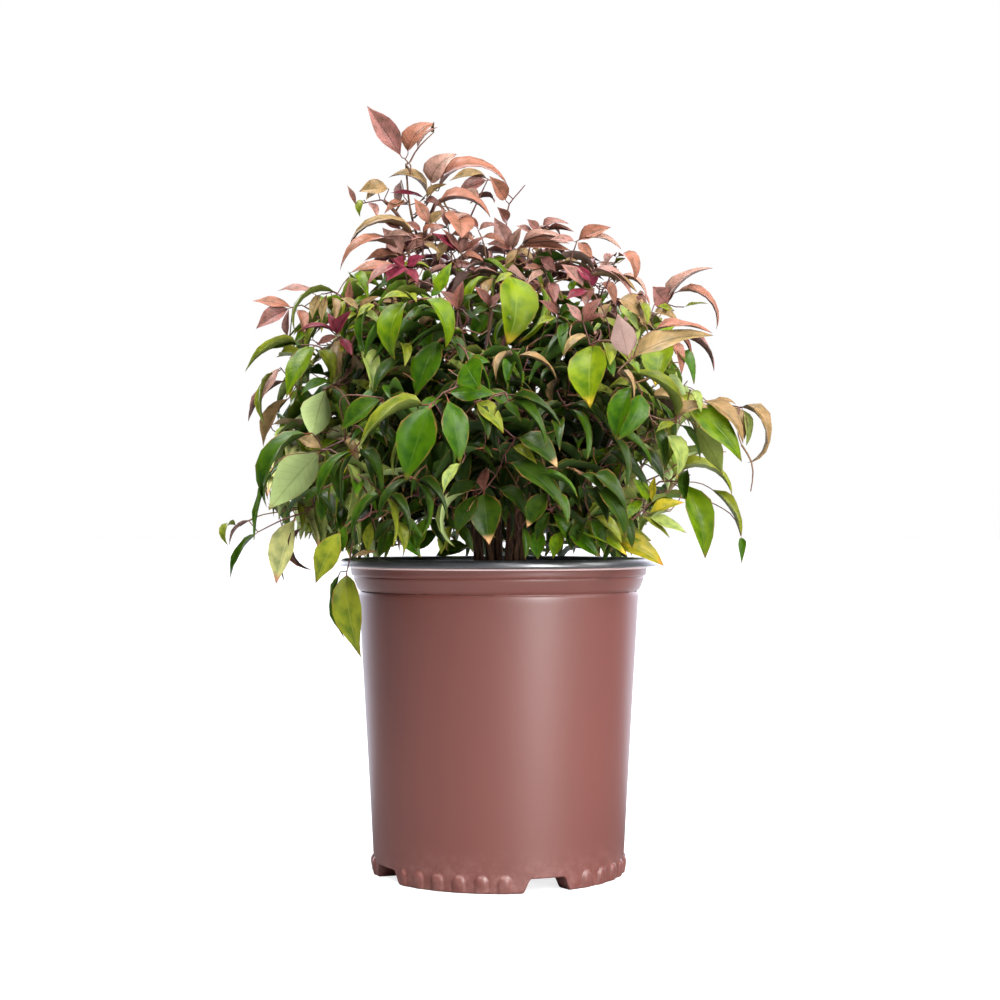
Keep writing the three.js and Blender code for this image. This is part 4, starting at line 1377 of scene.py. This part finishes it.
def set_leaflet(stem, back, spec):
    """Sets one leaflet of a spray, and its stalk where the foot stands off the stem."""
    fc, fr, tc, tr, roll, bend, wide, tint, *more = spec
    foot = seen(fc, fr, back)
    drift = (front_depth(tc, tr) - front_depth(fc, fr)) * DRIFT_SHARE
    drift = max(-MOST_DRIFT, min(MOST_DRIFT, drift))
    tip = seen(tc, tr, back + drift - (more[0] if more else FORWARD))
    across = camera.rotation_quaternion @ Vector((1, 0, 0))
    rise = camera.rotation_quaternion @ Vector((0, 1, 0))
    over, down = tc - fc, tr - fr
    hump = rise * over + across * down if over >= 0 else -rise * over - across * down
    if bend < 0:
        hump = -hump
    turned = math.radians(roll)
    to_camera = (CAMERA_PLACE - foot).normalized()
    face = hump.normalized() * math.cos(turned) + to_camera * math.sin(turned)
    which = nearest_bend(abs(bend)) + hand_dice.randrange(2)
    turn, size = turn_of(foot, tip, face, which)
    root = min(stem, key=lambda p: (p - foot).length)
    mass = nearest_mass(foot)
    leaves.append((foot, turn, (size * wide, size, size), which, tint, mass))
    taken.add(points_along(foot, turn, size, which, wide))
    for v in blades[which][0].data.vertices:
        p = foot + turn @ Vector((v.co.x * wide, v.co.y, v.co.z)) * size
        cell = guard_cell(p)
        guard[cell] = max(guard.get(cell, -1.0), p.y)
    if (root - foot).length > STALK_GAP:
        way = turn @ Vector((0, 1, 0))
        tubes.append([(p, TWIG_TIP) for p in arc(root, (foot - root).normalized(), foot, way, 5)])


hand_dice = random.Random(17)
sprays = TOP_SPRAYS + FILL_SPRAYS + SIDE_SPRAYS + LOW_SPRAYS + FRONT_SPRAYS
for push, spots, leaflets in sprays:
    back = front_depth(*spots[-1]) + AT_FRONT + push
    stem = [seen(*spot, back) for spot in spots]
    reach_joint(limb_net, stem[0], (stem[1] - stem[0]).normalized())
    taper = (TWIG_TIP - TWIG_FOOT) / (len(stem) - 1)
    tubes.append([(p, TWIG_FOOT + taper * k) for k, p in enumerate(stem)])
    thick = [a.lerp(b, s / 4) for a, b in zip(stem, stem[1:]) for s in range(5)]
    for spec in leaflets:
        set_leaflet(thick, back, spec)
    limb_net += [(p, up_axis, 0.02, TWIG_FOOT) for p in stem]
print(len(leaves), "leaflets set by hand in", len(sprays), "sprays,", len(tubes), "twigs")

# %% [markdown]
# ## Growing the crown by a rule
#
# The rest of the crown grows by a rule. In each mass, joints are scattered so that no two stand too
# close: many in a layer under the outside of the crown, fewer in the shade inside. Each joint points
# away from the heart of the plant, steeply up near the top and level at the sides. Once the leaves
# are on, twigs reach the joints that carry any, nearest first, each branching from whichever twig
# of the mass is closest.

# %% Joints
# Depth under the outside of the crown, and the spacing of joints down to it.
LAYERS = [(0.027, 0.0114), (0.046, 0.0155), (0.085, 0.0215)]
SHALLOWEST = 0.006
JOINT_TRIES = 2300
LOWEST_JOINT = 0.158  # metres up

grow_dice = random.Random(29)
joints = []  # place, mass, depth


def spacing_at(depth):
    return next((spacing for deepest, spacing in LAYERS if depth < deepest), None)


def add_joints(name, tries, spacing_of):
    low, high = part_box(name)
    for _ in range(tries):
        place = Vector(grow_dice.uniform(a, b) for a, b in zip(low, high))
        if not in_mass(place, name):
            continue
        depth = depth_under_crown(place)
        spacing = spacing_of(place, depth)
        if spacing is None or in_pot(place) or place.z < LOWEST_JOINT:
            continue
        if all((place - other[0]).length > spacing for other in joints):
            joints.append((place, name, depth))


for name in mass_names:
    add_joints(name, JOINT_TRIES, lambda place, depth: spacing_at(depth) if depth > SHALLOWEST else None)
crown_joints = len(joints)

LOW_JOINT_DEPTH = 0.034
CANES_X, CANES_HALF_WIDTH, CANES_SEEN_TO = 0.002, 0.016, 0.182


def add_ring(tries, spacing, reaches, heights, is_wanted):
    """Joints in a ring about the pot's axis, where they are wanted and stand free of the others."""
    for _ in range(tries):
        turn = grow_dice.uniform(0, math.tau)
        reach = grow_dice.uniform(*reaches)
        z = grow_dice.uniform(*heights)
        place = Vector((reach * math.cos(turn), reach * math.sin(turn), z))
        if is_wanted(place) and all((place - other[0]).length > spacing for other in joints):
            joints.append((place, nearest_mass(place), LOW_JOINT_DEPTH))


def leaves_canes_bare(place):
    is_low = place.y < 0 and place.z < CANES_SEEN_TO
    return not (is_low and abs(place.x - CANES_X) < CANES_HALF_WIDTH)


# Low leaves fill the space between the canes and the ring of the lowest masses.
add_ring(2600, 0.0145, (0.018, 0.074), (0.168, 0.226), leaves_canes_bare)
# Lower still, inside the rim and mostly behind the canes, small groups close the view through.
add_ring(900, 0.0135, (0.022, 0.062), (0.172, 0.186), lambda place: place.y > -0.01)
print(crown_joints, "joints in the crown and", len(joints) - crown_joints, "under it")

# A few more are tried inside the sprays, to fill them from the side and from behind. None of those
# in the right sprig ends up with leaflets.
SPRAY_TRIES, SPRAY_SPACING = 80, 0.0125
for name in ("spire_left", "spire_right", "right_sprig"):
    add_joints(name, SPRAY_TRIES, lambda place, depth: SPRAY_SPACING)


def group_way(place, name):
    """The way a group of leaflets points: outwards, and up more towards the top of the plant."""
    out = outward(place)
    azimuth = math.atan2(out.y, out.x) + math.radians(grow_dice.gauss(0, 42))
    if name in SPRAY_NAMES or math.hypot(out.x, out.y) < 0.2:
        azimuth = grow_dice.uniform(0, math.tau)
    rise = max(math.radians(-22), math.radians(18 + 42 * out.z + grow_dice.gauss(0, 12)))
    return Vector((math.cos(azimuth) * math.cos(rise), math.sin(azimuth) * math.cos(rise), math.sin(rise)))


joint_ways = [group_way(place, name) for place, name, _ in joints]

# %% [markdown]
# ## Tints
#
# One group of leaflets is all one tint, as on the plant, where a leaf colours as a whole. The tints
# are dealt out by height and by depth: coppers, corals and a few crimsons on top, olive and lime
# under them, bright and mid greens in the middle, and dark green low down and inside. The darker
# tints under the outside of the crown are painted shade, and the paler ones at its thin sides painted
# light. The tips are brown on "scorched" and "sere" leaves, golden brown on "gold" and yellow on "spring".

# %% Tints by place
TINTS = {
    "coral": (116, 76, 70), "copper": (124, 80, 64), "rose": (138, 105, 93), "crimson": (92, 30, 42),
    "magenta": (100, 34, 50), "plum": (124, 88, 80), "bronze": (116, 92, 60), "tan": (124, 102, 68),
    "maroon": (98, 60, 52), "olive": (88, 102, 24), "lime": (66, 96, 4), "bright": (39, 75, 2),
    "mid": (38, 68, 5), "deep": (32, 54, 9), "dark": (24, 41, 9), "pale": (112, 130, 64),
    "gold": (134, 134, 22), "scorched": (32, 54, 6), "sere": (168, 174, 108), "spring": (80, 106, 9),
}
REDS = ("coral", "copper", "rose", "crimson", "magenta", "plum", "bronze", "tan", "maroon")
# The shares of each tint at a height, from the top down, at the front and back of the plant ...
TINT_BANDS = [
    (0.318, "copper 5 coral 3 rose 3 bronze 2 plum 5 crimson 1 maroon 3"),
    (0.302, "copper 3 bronze 3 plum 4 crimson 1.6 maroon 3 rose 2 olive 3 lime 3 magenta 1 spring 0.6"),
    (0.280, "bronze 2 olive 4 lime 5 bright 4 plum 1.6 rose 0.8 crimson 0.6 "
        "copper 1 maroon 1 mid 3 spring 0.8"),
    (0.250, "lime 2.5 bright 4 mid 6 olive 3 deep 5 bronze 0.8 dark 1"),
    (0.215, "bright 2 mid 5 olive 2 deep 6 pale 0.3 dark 3"),
    (-1.0, "mid 4 deep 5 dark 4 olive 1.6 bright 1.5 scorched 1 bronze 0.2"),
]
# ... and at its thin sides, which are well lit: their paler tints are painted light.
SIDE_PAINTED_LIGHT_BANDS = [
    (0.300, "copper 3 bronze 4 plum 2 crimson 0.6 maroon 0.6 rose 3 tan 4 olive 3 lime 3 spring 2 pale 2"),
    (0.270, "bronze 2 olive 4 lime 3 bright 2 plum 1 rose 2 tan 4 copper 1.5 pale 5 spring 3 sere 0.5"),
    (0.215, "olive 4 pale 7 mid 1.5 bright 3 lime 4 bronze 1 tan 1.5 rose 0.5 spring 3 sere 1"),
    (-1.0, "olive 4 pale 6 mid 2 bright 3 lime 3 bronze 0.5 gold 0.15 sere 1 spring 2"),
]
SIDE_X = 0.062  # metres from the middle to where the sides begin
DEEP, INNER_DEPTH, SIDE_INNER_DEPTH = 0.046, 0.027, 0.040
RED_ABOVE, SIDES_BELOW = 0.31, 0.318
SHADED_SHARE = 0.6
# What a tint turns to inside the crown: a darker tint, as painted shade.
INNER_SHADE_TINTS = {
    "spring": "olive", "copper": "plum", "coral": "copper", "rose": "plum", "lime": "mid",
    "bright": "deep", "mid": "deep", "deep": "dark", "pale": "olive", "gold": "mid",
    "bronze": "plum", "crimson": "maroon", "tan": "bronze", "plum": "maroon",
    "magenta": "maroon", "scorched": "dark", "sere": "mid", "olive": "deep",
}


def deal_tint(place, depth):
    z = place.z + grow_dice.gauss(0, 0.008)
    at_side = abs(place.x) > SIDE_X
    bands = SIDE_PAINTED_LIGHT_BANDS if at_side and z < SIDES_BELOW else TINT_BANDS
    words = next(band for floor_z, band in bands if z > floor_z).split()
    tint = grow_dice.choices(words[::2], [float(w) for w in words[1::2]])[0]
    # Deep inside the crown a leaflet takes maroon, dark, deep or, at the sides, olive: painted shade.
    if depth > DEEP and z > RED_ABOVE:
        return "maroon"
    if depth > DEEP:
        shaded = "olive" if at_side else "dark"
        return shaded if grow_dice.random() < SHADED_SHARE else "deep"
    # A little under the outside a tint turns to a darker one: painted shade, which starts deeper at the
    # sides.
    is_inner = depth > (SIDE_INNER_DEPTH if at_side else INNER_DEPTH)
    return INNER_SHADE_TINTS.get(tint, tint) if is_inner else tint


# %% Groups of leaflets
LEAF_LENGTHS = [(0.16, 0.033), (0.20, 0.037), (0.28, 0.034), (0.33, 0.028), (0.37, 0.025)]  # by height
# How far the line from foot to tip drops below level, in degrees, by height.
DROPS = [(0.17, 44), (0.22, 34), (0.28, 24), (0.31, 10), (0.35, -8)]
ARCHES = [(0.20, (50, 105)), (0.30, (52, 120)), (0.36, (30, 90))]
CLEARANCE = 0.0036
TIP_ROOM = -0.004  # how far outside the crown a tip may stand
LOWEST_POINT = 0.149
# No rule-grown leaflet hangs in the space before the lip, or nearer than this before a listed one.
LIP_FRONT_Y, LIP_HALF_WIDTH, LIP_CLEAR_Z = -0.02, 0.085, 0.166
GUARD_ROOM = 0.001
NOTHING_SET = -1.0  # the depth that stands for a cell without a listed leaflet
LEAFLET_TRIES = 7
MOST_CROWDED, MOST_CROWDED_INSIDE = 7, 9
NEAR_REACH, LAST_PAIR_BACK = 0.06, 0.008
NARROWEST, WIDEST = 0.48, 0.82  # width of a leaflet, as a share of its length's scale
# The outline of the crown's body, as rows of the camera's picture and the columns of its two edges.
# Only the listed sprays reach past it.
CROWN_EDGES = [
    (160, 450, 450), (176, 425, 470), (196, 420, 490), (225, 402, 556), (245, 388, 596),
    (265, 372, 618), (285, 342, 640), (300, 300, 652), (320, 280, 668), (345, 274, 670),
    (370, 272, 668), (395, 274, 686), (420, 270, 702), (440, 268, 702), (460, 266, 694),
    (480, 266, 680), (500, 266, 664), (520, 272, 650), (540, 292, 638), (560, 330, 632),
    (575, 352, 630),
]
EDGE_ROWS, LEFT_EDGE, RIGHT_EDGE = zip(*CROWN_EDGES)
# Daylight shows through the crown's thin flanks and under its top sprays, but not through its middle.
# Small gaps are dealt out there by a dice of their own: metres across, metres up, how many, and radii.
GAP_ZONES = [
    ((-0.118, -0.064), (0.225, 0.300), 6, (0.0025, 0.0050)),
    ((0.052, 0.106), (0.195, 0.300), 7, (0.0025, 0.0050)),
    ((-0.064, -0.010), (0.336, 0.358), 5, (0.0040, 0.0075)),
    ((0.028, 0.050), (0.316, 0.330), 2, (0.0020, 0.0035)),
]
gap_dice = random.Random(43)
gaps_seen = []  # column, row and radius in the camera's picture
for across, up, how_many, radii in GAP_ZONES:
    for _ in range(how_many):
        middle = Vector((gap_dice.uniform(*across), 0.0, gap_dice.uniform(*up)))
        column, row = spot_of(middle)
        edge_column, _ = spot_of(middle + Vector((gap_dice.uniform(*radii), 0.0, 0.0)))
        gaps_seen.append((column, row, edge_column - column))
print(len(gaps_seen), "gaps in the foliage")


def by_height(z, table):
    return float(np.interp(z, *zip(*table)))


def crowding(points, near):
    """How many points of a new leaflet come too close to others."""
    if not len(near):
        return 0
    gaps = np.linalg.norm(np.array(points)[:, None, :] - near[None, :, :], axis=2)
    return int((gaps.min(axis=1) < CLEARANCE).sum())


def stays_out(points, name):
    """True where a leaflet cuts the pot, hangs before its lip, hides another, closes a gap or sticks out."""
    spots = [spot_of(p) for p in points]
    for p, (column, row) in zip(points, spots):
        before_lip = p.y < LIP_FRONT_Y and abs(p.x) < LIP_HALF_WIDTH and p.z < LIP_CLEAR_Z
        if in_pot(p) or p.z < LOWEST_POINT or before_lip:
            return True
        cell = (int(column / CELL), int(row / CELL))
        if p.y < guard.get(cell, NOTHING_SET) + GUARD_ROOM:
            return True
        if any(math.hypot(column - c, row - r) < radius for c, r, radius in gaps_seen):
            return True
    for column, row in (spots[TIP_SAMPLE], spots[MIDDLE_SAMPLE]):
        if not np.interp(row, EDGE_ROWS, LEFT_EDGE) < column < np.interp(row, EDGE_ROWS, RIGHT_EDGE):
            return True
    return name in mass_names and depth_under_crown(points[TIP_SAMPLE]) < TIP_ROOM


def try_leaflet(foot, azimuth, drop, length, bend, near, name, dice):
    """One way that a leaflet could lie, or None where it may not."""
    which = nearest_bend(bend) + dice.randrange(TWINS)
    flat = Vector((math.cos(azimuth), math.sin(azimuth), 0))
    way = flat * math.cos(drop) - up_axis * math.sin(drop)
    face = Quaternion(way, math.radians(dice.gauss(0, 20))) @ (up_axis + flat * 0.35)
    turn, size = turn_of(foot, foot + way * length * blades[which][1].length, face, which)
    points = points_along(foot, turn, size, which)
    if stays_out(points, name):
        return None
    return crowding(points, near), turn, size, which, points


def grow_group(place, way, name, depth, tint, dice):
    azimuth = math.atan2(way.y, way.x)
    length = by_height(place.z, LEAF_LENGTHS) * dice.uniform(0.84, 1.14)
    count = dice.choices((3, 4, 5), (5, 2, 3))[0] if depth < DEEP else 3
    spread = math.radians(dice.uniform(44, 68))
    fans = [0.0, spread, -spread, 1.9 * spread, -1.9 * spread][:count]
    low_bend = by_height(place.z, [(z, pair[0]) for z, pair in ARCHES])
    high_bend = by_height(place.z, [(z, pair[1]) for z, pair in ARCHES])
    drop = by_height(place.z, DROPS)
    near = taken.near(place, NEAR_REACH)
    for k, fan in enumerate(fans):
        foot = place - way * (LAST_PAIR_BACK if k > 2 else 0.0)
        best = None
        for _ in range(LEAFLET_TRIES):
            size = length * (1.0 if k == 0 else dice.uniform(0.7, 0.95))
            option = try_leaflet(
                foot, azimuth + fan + math.radians(dice.gauss(0, 9)), math.radians(drop + dice.gauss(0, 15)),
                size, dice.uniform(low_bend, high_bend), near, name, dice,
            )
            if option and (best is None or option[0] < best[0]):
                best = option
            if best and best[0] == 0:
                break
        if best is None or best[0] > (MOST_CROWDED if depth < INNER_DEPTH else MOST_CROWDED_INSIDE):
            continue
        _, turn, size, which, points = best
        width = size * dice.uniform(NARROWEST, WIDEST)
        leaves.append((foot.copy(), turn, (width, size, size), which, tint, name))
        taken.add(points)
        near = np.vstack([near, np.array(points)])


leafy = []  # the joints that carry at least one leaflet
for i in sorted(range(len(joints)), key=lambda i: joints[i][2]):
    place, name, depth = joints[i]
    before = len(leaves)
    grow_group(place, joint_ways[i], name, depth, deal_tint(place, depth), grow_dice)
    if len(leaves) > before:
        leafy.append(i)
print(len(leaves), "leaflets at", len(leafy), "joints and in the sprays")

# %% Twigs to the joints
for name in mass_shape:
    mine = [i for i in leafy if joints[i][1] == name]
    middle = mass_shape[name][0]
    net = sorted(limb_net, key=lambda spot: (spot[0] - middle).length)[:12]
    for i in sorted(mine, key=lambda i: (joints[i][0] - net[0][0]).length):
        reach_joint(net, joints[i][0], joint_ways[i])
print(len(tubes), "twigs")

# %% [markdown]
# ## Leaf finishes
#
# Every tint shares one pattern, drawn in the blade's own map: the left half of the map is the upper
# side and the right half the underside. The midrib and the side veins, which curve towards the tip,
# are paler than a green blade and darker than a red one. The upper side is glossy and puckered
# between the veins, the underside paler and matt, and the edge and tip carry a trace of bronze.

# %% Leaf materials
LEAF_GLOSS, UNDERSIDE_GLOSS = 0.32, 0.6
TIP_TONES = {
    "scorched": (198, 150, 104), "sere": (190, 130, 104),
    "spring": (190, 160, 48), "gold": (166, 116, 44),
}


def leaf_finish(name, rgb):
    """The finish of one tint, as a base colour with the pattern of a leaf."""
    red, green, blue = rgb
    h, s, v = colorsys.rgb_to_hsv(red / 255, green / 255, blue / 255)
    is_green = 0.13 < h < 0.45

    def shade(dh, ds, dv):
        r, g, b = colorsys.hsv_to_rgb((h + dh) % 1, min(1, max(0, s * ds)), min(1, v * dv))
        return srgb(r * 255, g * 255, b * 255)

    material, tree, shader = finish_of("leaf_" + name, Specular_IOR_Level=0.14)
    uv = tree.add("ShaderNodeUVMap", {"uv_map": UV_NAME})
    parts = tree.add("ShaderNodeSeparateXYZ", None, {0: uv})
    u, v_along = parts["X"], parts["Y"]
    under = tree.math("GREATER_THAN", u, 0.5)
    side = tree.math("ABSOLUTE", (u - 0.25 - under * 0.5) / 0.22)
    along = (v_along - 0.03) / 0.94
    midrib = 1 - tree.ramp(side, 0.015, 0.075)
    # Side veins leave the midrib at a slant and curve along the edge.
    phase = tree.math("FRACT", (along - (side ** 0.8) * 0.16) * 11.0)
    between = tree.math("ABSOLUTE", phase - 0.5)
    veins = (1 - tree.ramp(between, 0.0, 0.13)) * (1 - tree.ramp(side, 0.7, 1.0))
    net = tree.add("ShaderNodeTexVoronoi", {"feature": "DISTANCE_TO_EDGE"}, {"Vector": uv, "Scale": 46.0})
    blotch = tree.noise(uv, 4.6, 2.0)
    stalk = 1 - tree.ramp(along, 0.05, 0.11)
    rim = tree.ramp(side, 0.82, 1.0) * (1 - stalk)
    tip = tree.ramp(along, 0.8, 0.93) if name in TIP_TONES else tree.ramp(along, 0.86, 1.0) * 0.4

    patches = tree.ramp(blotch, 0.35, 0.7)
    top = tree.mix(patches * 0.85, shade(-0.02 if is_green else 0.0, 1.0, 1.14), shade(0.025, 1.0, 0.76))
    line_tone = shade(-0.02, 0.8, 1.22) if is_green else shade(0.0, 1.15, 0.62)
    top = tree.mix(veins * (0.15 if is_green else 0.3), top, line_tone)
    top = tree.mix(midrib * (0.5 if is_green else 0.6), top, line_tone)
    pale = 1.22 if is_green else 1.05
    below = tree.mix(patches * 0.5, shade(0.0, 0.72, pale), shade(0.0, 0.78, pale * 0.86))
    below = tree.mix(veins * 0.22, below, shade(0.0, 0.9, 0.88))
    below = tree.mix(midrib * 0.5, below, shade(-0.02, 0.9, 0.85))
    colour = tree.mix(under, top, below)
    edge_tone = srgb(158, 104, 56) if is_green else srgb(112, 54, 46)
    colour = tree.mix(rim * tree.ramp(blotch, 0.42, 0.62) * 0.4, colour, edge_tone)
    colour = tree.mix(tip * 0.85, colour, srgb(*TIP_TONES[name]) if name in TIP_TONES else edge_tone)
    colour = tree.mix(stalk * 0.9, colour, srgb(120, 66, 48))
    tree.plug(colour, shader.inputs["Base Color"])
    gloss = under * (UNDERSIDE_GLOSS - LEAF_GLOSS) + veins * 0.06 + blotch * 0.12 + (LEAF_GLOSS - 0.06)
    tree.plug(gloss, shader.inputs["Roughness"])
    height = (1 - midrib) * 1.2 + tree.ramp(between, 0.0, 0.4) * 0.25 + net * 0.25
    emboss(tree, shader, height, 0.26, 0.0004)
    return material


# %% Leaves as pieces, one for each tint
blade_kit = kit_of("blade_kit", [b[0] for b in blades])


def note_on_points(mesh, label, kind, values):
    """Keeps a value at each point of a mesh, for Geometry Nodes to read."""
    key = "vector" if kind == "FLOAT_VECTOR" else "value"
    mesh.attributes.new(label, kind, "POINT").data.foreach_set(key, values)


def leaf_piece(tint):
    """All the leaflets of a tint, by Geometry Nodes from a point for each."""
    mine = [leaf for leaf in leaves if leaf[4] == tint]
    cloud = bpy.data.meshes.new("feet_" + tint)
    cloud.from_pydata([leaf[0] for leaf in mine], [], [])
    note_on_points(cloud, "turn", "QUATERNION", [c for leaf in mine for c in leaf[1]])
    note_on_points(cloud, "size", "FLOAT_VECTOR", [c for leaf in mine for c in leaf[2]])
    note_on_points(cloud, "blade", "INT", [leaf[3] for leaf in mine])
    group, tree, given = new_growth_tree("leaves_tree_" + tint)

    def read(label, kind):
        return tree.add("GeometryNodeInputNamedAttribute", {"data_type": kind}, {"Name": label})

    kit = tree.add(
        "GeometryNodeCollectionInfo", None,
        {"Collection": blade_kit, "Separate Children": True, "Reset Children": True},
    )
    placed = tree.add(
        "GeometryNodeInstanceOnPoints", None,
        {
            "Points": given["Geometry"], "Instance": kit, "Pick Instance": True,
            "Instance Index": read("blade", "INT"), "Rotation": read("turn", "QUATERNION"),
            "Scale": read("size", "FLOAT_VECTOR"),
        },
    )
    end_growth_tree(tree, placed, leaf_finish(tint, TINTS[tint]))
    piece = grown("leaves_" + tint, link("feet_" + tint, cloud), group)
    for spare in ("turn", "size", "blade"):
        if spare in piece.data.attributes:
            piece.data.attributes.remove(piece.data.attributes[spare])
    return piece, sorted({leaf[5] for leaf in mine})


leaf_pieces = [leaf_piece(tint) for tint in TINTS if any(leaf[4] == tint for leaf in leaves)]
clear_kit(blade_kit)
print("leaves:", sum(count_triangles(p) for p, _ in leaf_pieces), "triangles in", len(leaf_pieces), "pieces")

# %% [markdown]
# ## Canes, stalks and twigs
#
# All three are tubes along lines, so one Geometry Nodes tree makes them: the line becomes a curve,
# a circle is swept along it with the radius kept at each point, and the surface is then pushed in
# and out by a noise to give it bark. The old canes are rough and grey brown. The leaf stalks and
# twigs are smooth, slim and dark red.

# %% Tubes along lines


def tube_piece(name, lines, material, sides, step, roughness, grain):
    """Sweeps a circle along each line of (place, radius)."""
    points, edges, girths = [], [], []
    for line in lines:
        first = len(points)
        points += [p for p, _ in line]
        girths += [r for _, r in line]
        edges += [(first + k, first + k + 1) for k in range(len(line) - 1)]
    thread = bpy.data.meshes.new(name + "_line")
    thread.from_pydata(points, edges, [])
    note_on_points(thread, "girth", "FLOAT", girths)
    group, tree, given = new_growth_tree(
        name + "_tree", Step="Float", Sides="Int", Relief="Float", Grain="Float"
    )
    curve = tree.add("GeometryNodeMeshToCurve", None, {"Mesh": given["Geometry"]})
    curve = tree.add("GeometryNodeCurveSplineType", {"spline_type": "CATMULL_ROM"}, {"Curve": curve})
    spacing = {"Curve": curve, "Length": given["Step"]}
    curve = tree.add("GeometryNodeResampleCurve", {"mode": "LENGTH"}, spacing)
    girth = tree.add("GeometryNodeInputNamedAttribute", {"data_type": "FLOAT"}, {"Name": "girth"})
    section = {"Resolution": given["Sides"], "Radius": 1.0}
    circle = tree.add("GeometryNodeCurvePrimitiveCircle", None, section)
    tube = tree.add(
        "GeometryNodeCurveToMesh", None,
        {"Curve": curve, "Profile Curve": circle["Curve"], "Scale": girth, "Fill Caps": True},
    )
    tube = tree.add("GeometryNodeSetShadeSmooth", None, {"Geometry": tube, "Shade Smooth": True})
    place = tree.add("GeometryNodeInputPosition")
    rough = tree.noise(place, given["Grain"], 3.0)
    normal = tree.add("GeometryNodeInputNormal")
    push = tree.add(
        "ShaderNodeVectorMath", {"operation": "SCALE"},
        {0: normal, "Scale": (rough - 0.5) * given["Relief"]},
    )
    tube = tree.add("GeometryNodeSetPosition", None, {"Geometry": tube, "Offset": push})
    end_growth_tree(tree, tube, material)
    sizes = {"Step": step, "Sides": sides, "Relief": roughness, "Grain": grain}
    return grown(name, link(name + "_line", thread), group, **sizes)


cane_bark, tree, shader = finish_of("cane_bark", Specular_IOR_Level=0.3)
place = tree.place()
long_way = tree.add("ShaderNodeMapping", None, {"Vector": place, "Scale": (900, 900, 90)})
streak = tree.noise(long_way, 1.0, 4.0)
patch = tree.noise(place, 70.0, 3.0)
colour = tree.mix(tree.ramp(streak, 0.35, 0.65), srgb(58, 38, 28), srgb(120, 88, 62))
colour = tree.mix(tree.ramp(patch, 0.5, 0.7) * 0.5, colour, srgb(92, 48, 38))
tree.plug(colour, shader.inputs["Base Color"])
tree.plug(streak * 0.2 + 0.6, shader.inputs["Roughness"])
emboss(tree, shader, streak, 0.7, 0.0003)

stalk_skin, tree, shader = finish_of("stalk_skin", Specular_IOR_Level=0.45)
place = tree.place()
patch = tree.noise(place, 55.0, 3.0)
fine = tree.noise(place, 900.0, 2.0)
colour = tree.mix(tree.ramp(patch, 0.4, 0.65), srgb(84, 40, 38), srgb(116, 84, 48))
tree.plug(tree.mix(fine * 0.3, colour, srgb(60, 32, 28)), shader.inputs["Base Color"])
tree.plug(fine * 0.2 + 0.4, shader.inputs["Roughness"])

# The bare canes are slimmer than their solids, so that daylight shows between them. The leader
# thins out as it runs up into the top spray.
BARE_SHARE = 0.72
LEADER_TIP, THIN_FROM_Z, THIN_TO_Z = 0.0005, 0.18, 0.31


def thinned(place, girth):
    """The girth of the leader, which runs down to its tip's as it climbs."""
    share = min(1.0, max(0.0, place.z - THIN_FROM_Z) / (THIN_TO_Z - THIN_FROM_Z))
    return girth + (LEADER_TIP - girth) * share


cane_lines = []
for name, line in canes.items():
    thin = [(p, r * BARE_SHARE) for p, r in line]
    if name == "cane_8":
        thin = [(p, thinned(p, r)) for p, r in thin]
    cane_lines.append(thin)
stalk_lines = list(stalks.values())
cane_tubes = tube_piece("canes", cane_lines, cane_bark, 16, 0.0022, 0.0007, 420.0)
stalk_tubes = tube_piece("leaf_stalks", stalk_lines, stalk_skin, 10, 0.003, 0.00015, 500.0)
twig_tubes = tube_piece("twigs", tubes, stalk_skin, 6, 0.0042, 0.0001, 500.0)
print("limbs:", [count_triangles(p) for p in (cane_tubes, stalk_tubes, twig_tubes)], "triangles")

# %% [markdown]
# ## Handing over
#
# Each piece rides on the one rigid body and hides the CAD solids it stands for. The right sprig's
# leaflets hang nearer the camera than its solid, and no leaf piece names it, so only the twigs stand
# for it. At the end, how far the finished plant's box grows past the frame's is printed.

# %% Pieces and the nodes they stand for


def hand_over(piece, slot, *nodes):
    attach(piece, "root")
    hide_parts(*nodes)


hand_over(pot_outer, "pot_plastic", "nursery_pot")
hand_over(pot_lining, "lip_plastic", "nursery_pot")
for piece in mix_pieces:
    hand_over(piece, "potting_mix", "potting_mix")
hand_over(cane_tubes, "cane_bark", *canes)
hand_over(stalk_tubes, "leaf_stalk", *stalks)
hand_over(twig_tubes, "leaf_stalk", *mass_names, *SPRAY_NAMES)
for piece, nodes in leaf_pieces:
    hand_over(piece, "leaf_bronze" if piece.name.split("_")[1] in REDS else "leaf_green", *nodes)
bare = [name for name in mass_shape if not any(name in nodes for _, nodes in leaf_pieces)]
print("masses without leaves:", bare)

# %% Sizes
look_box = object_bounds()
corners = [(a, b) for ca, cb in zip(cad_box, look_box) for a, b in zip(ca, cb)]
print("grows past the frame by, in mm:", [round((abs(b) - abs(a)) / MM, 1) for a, b in corners])
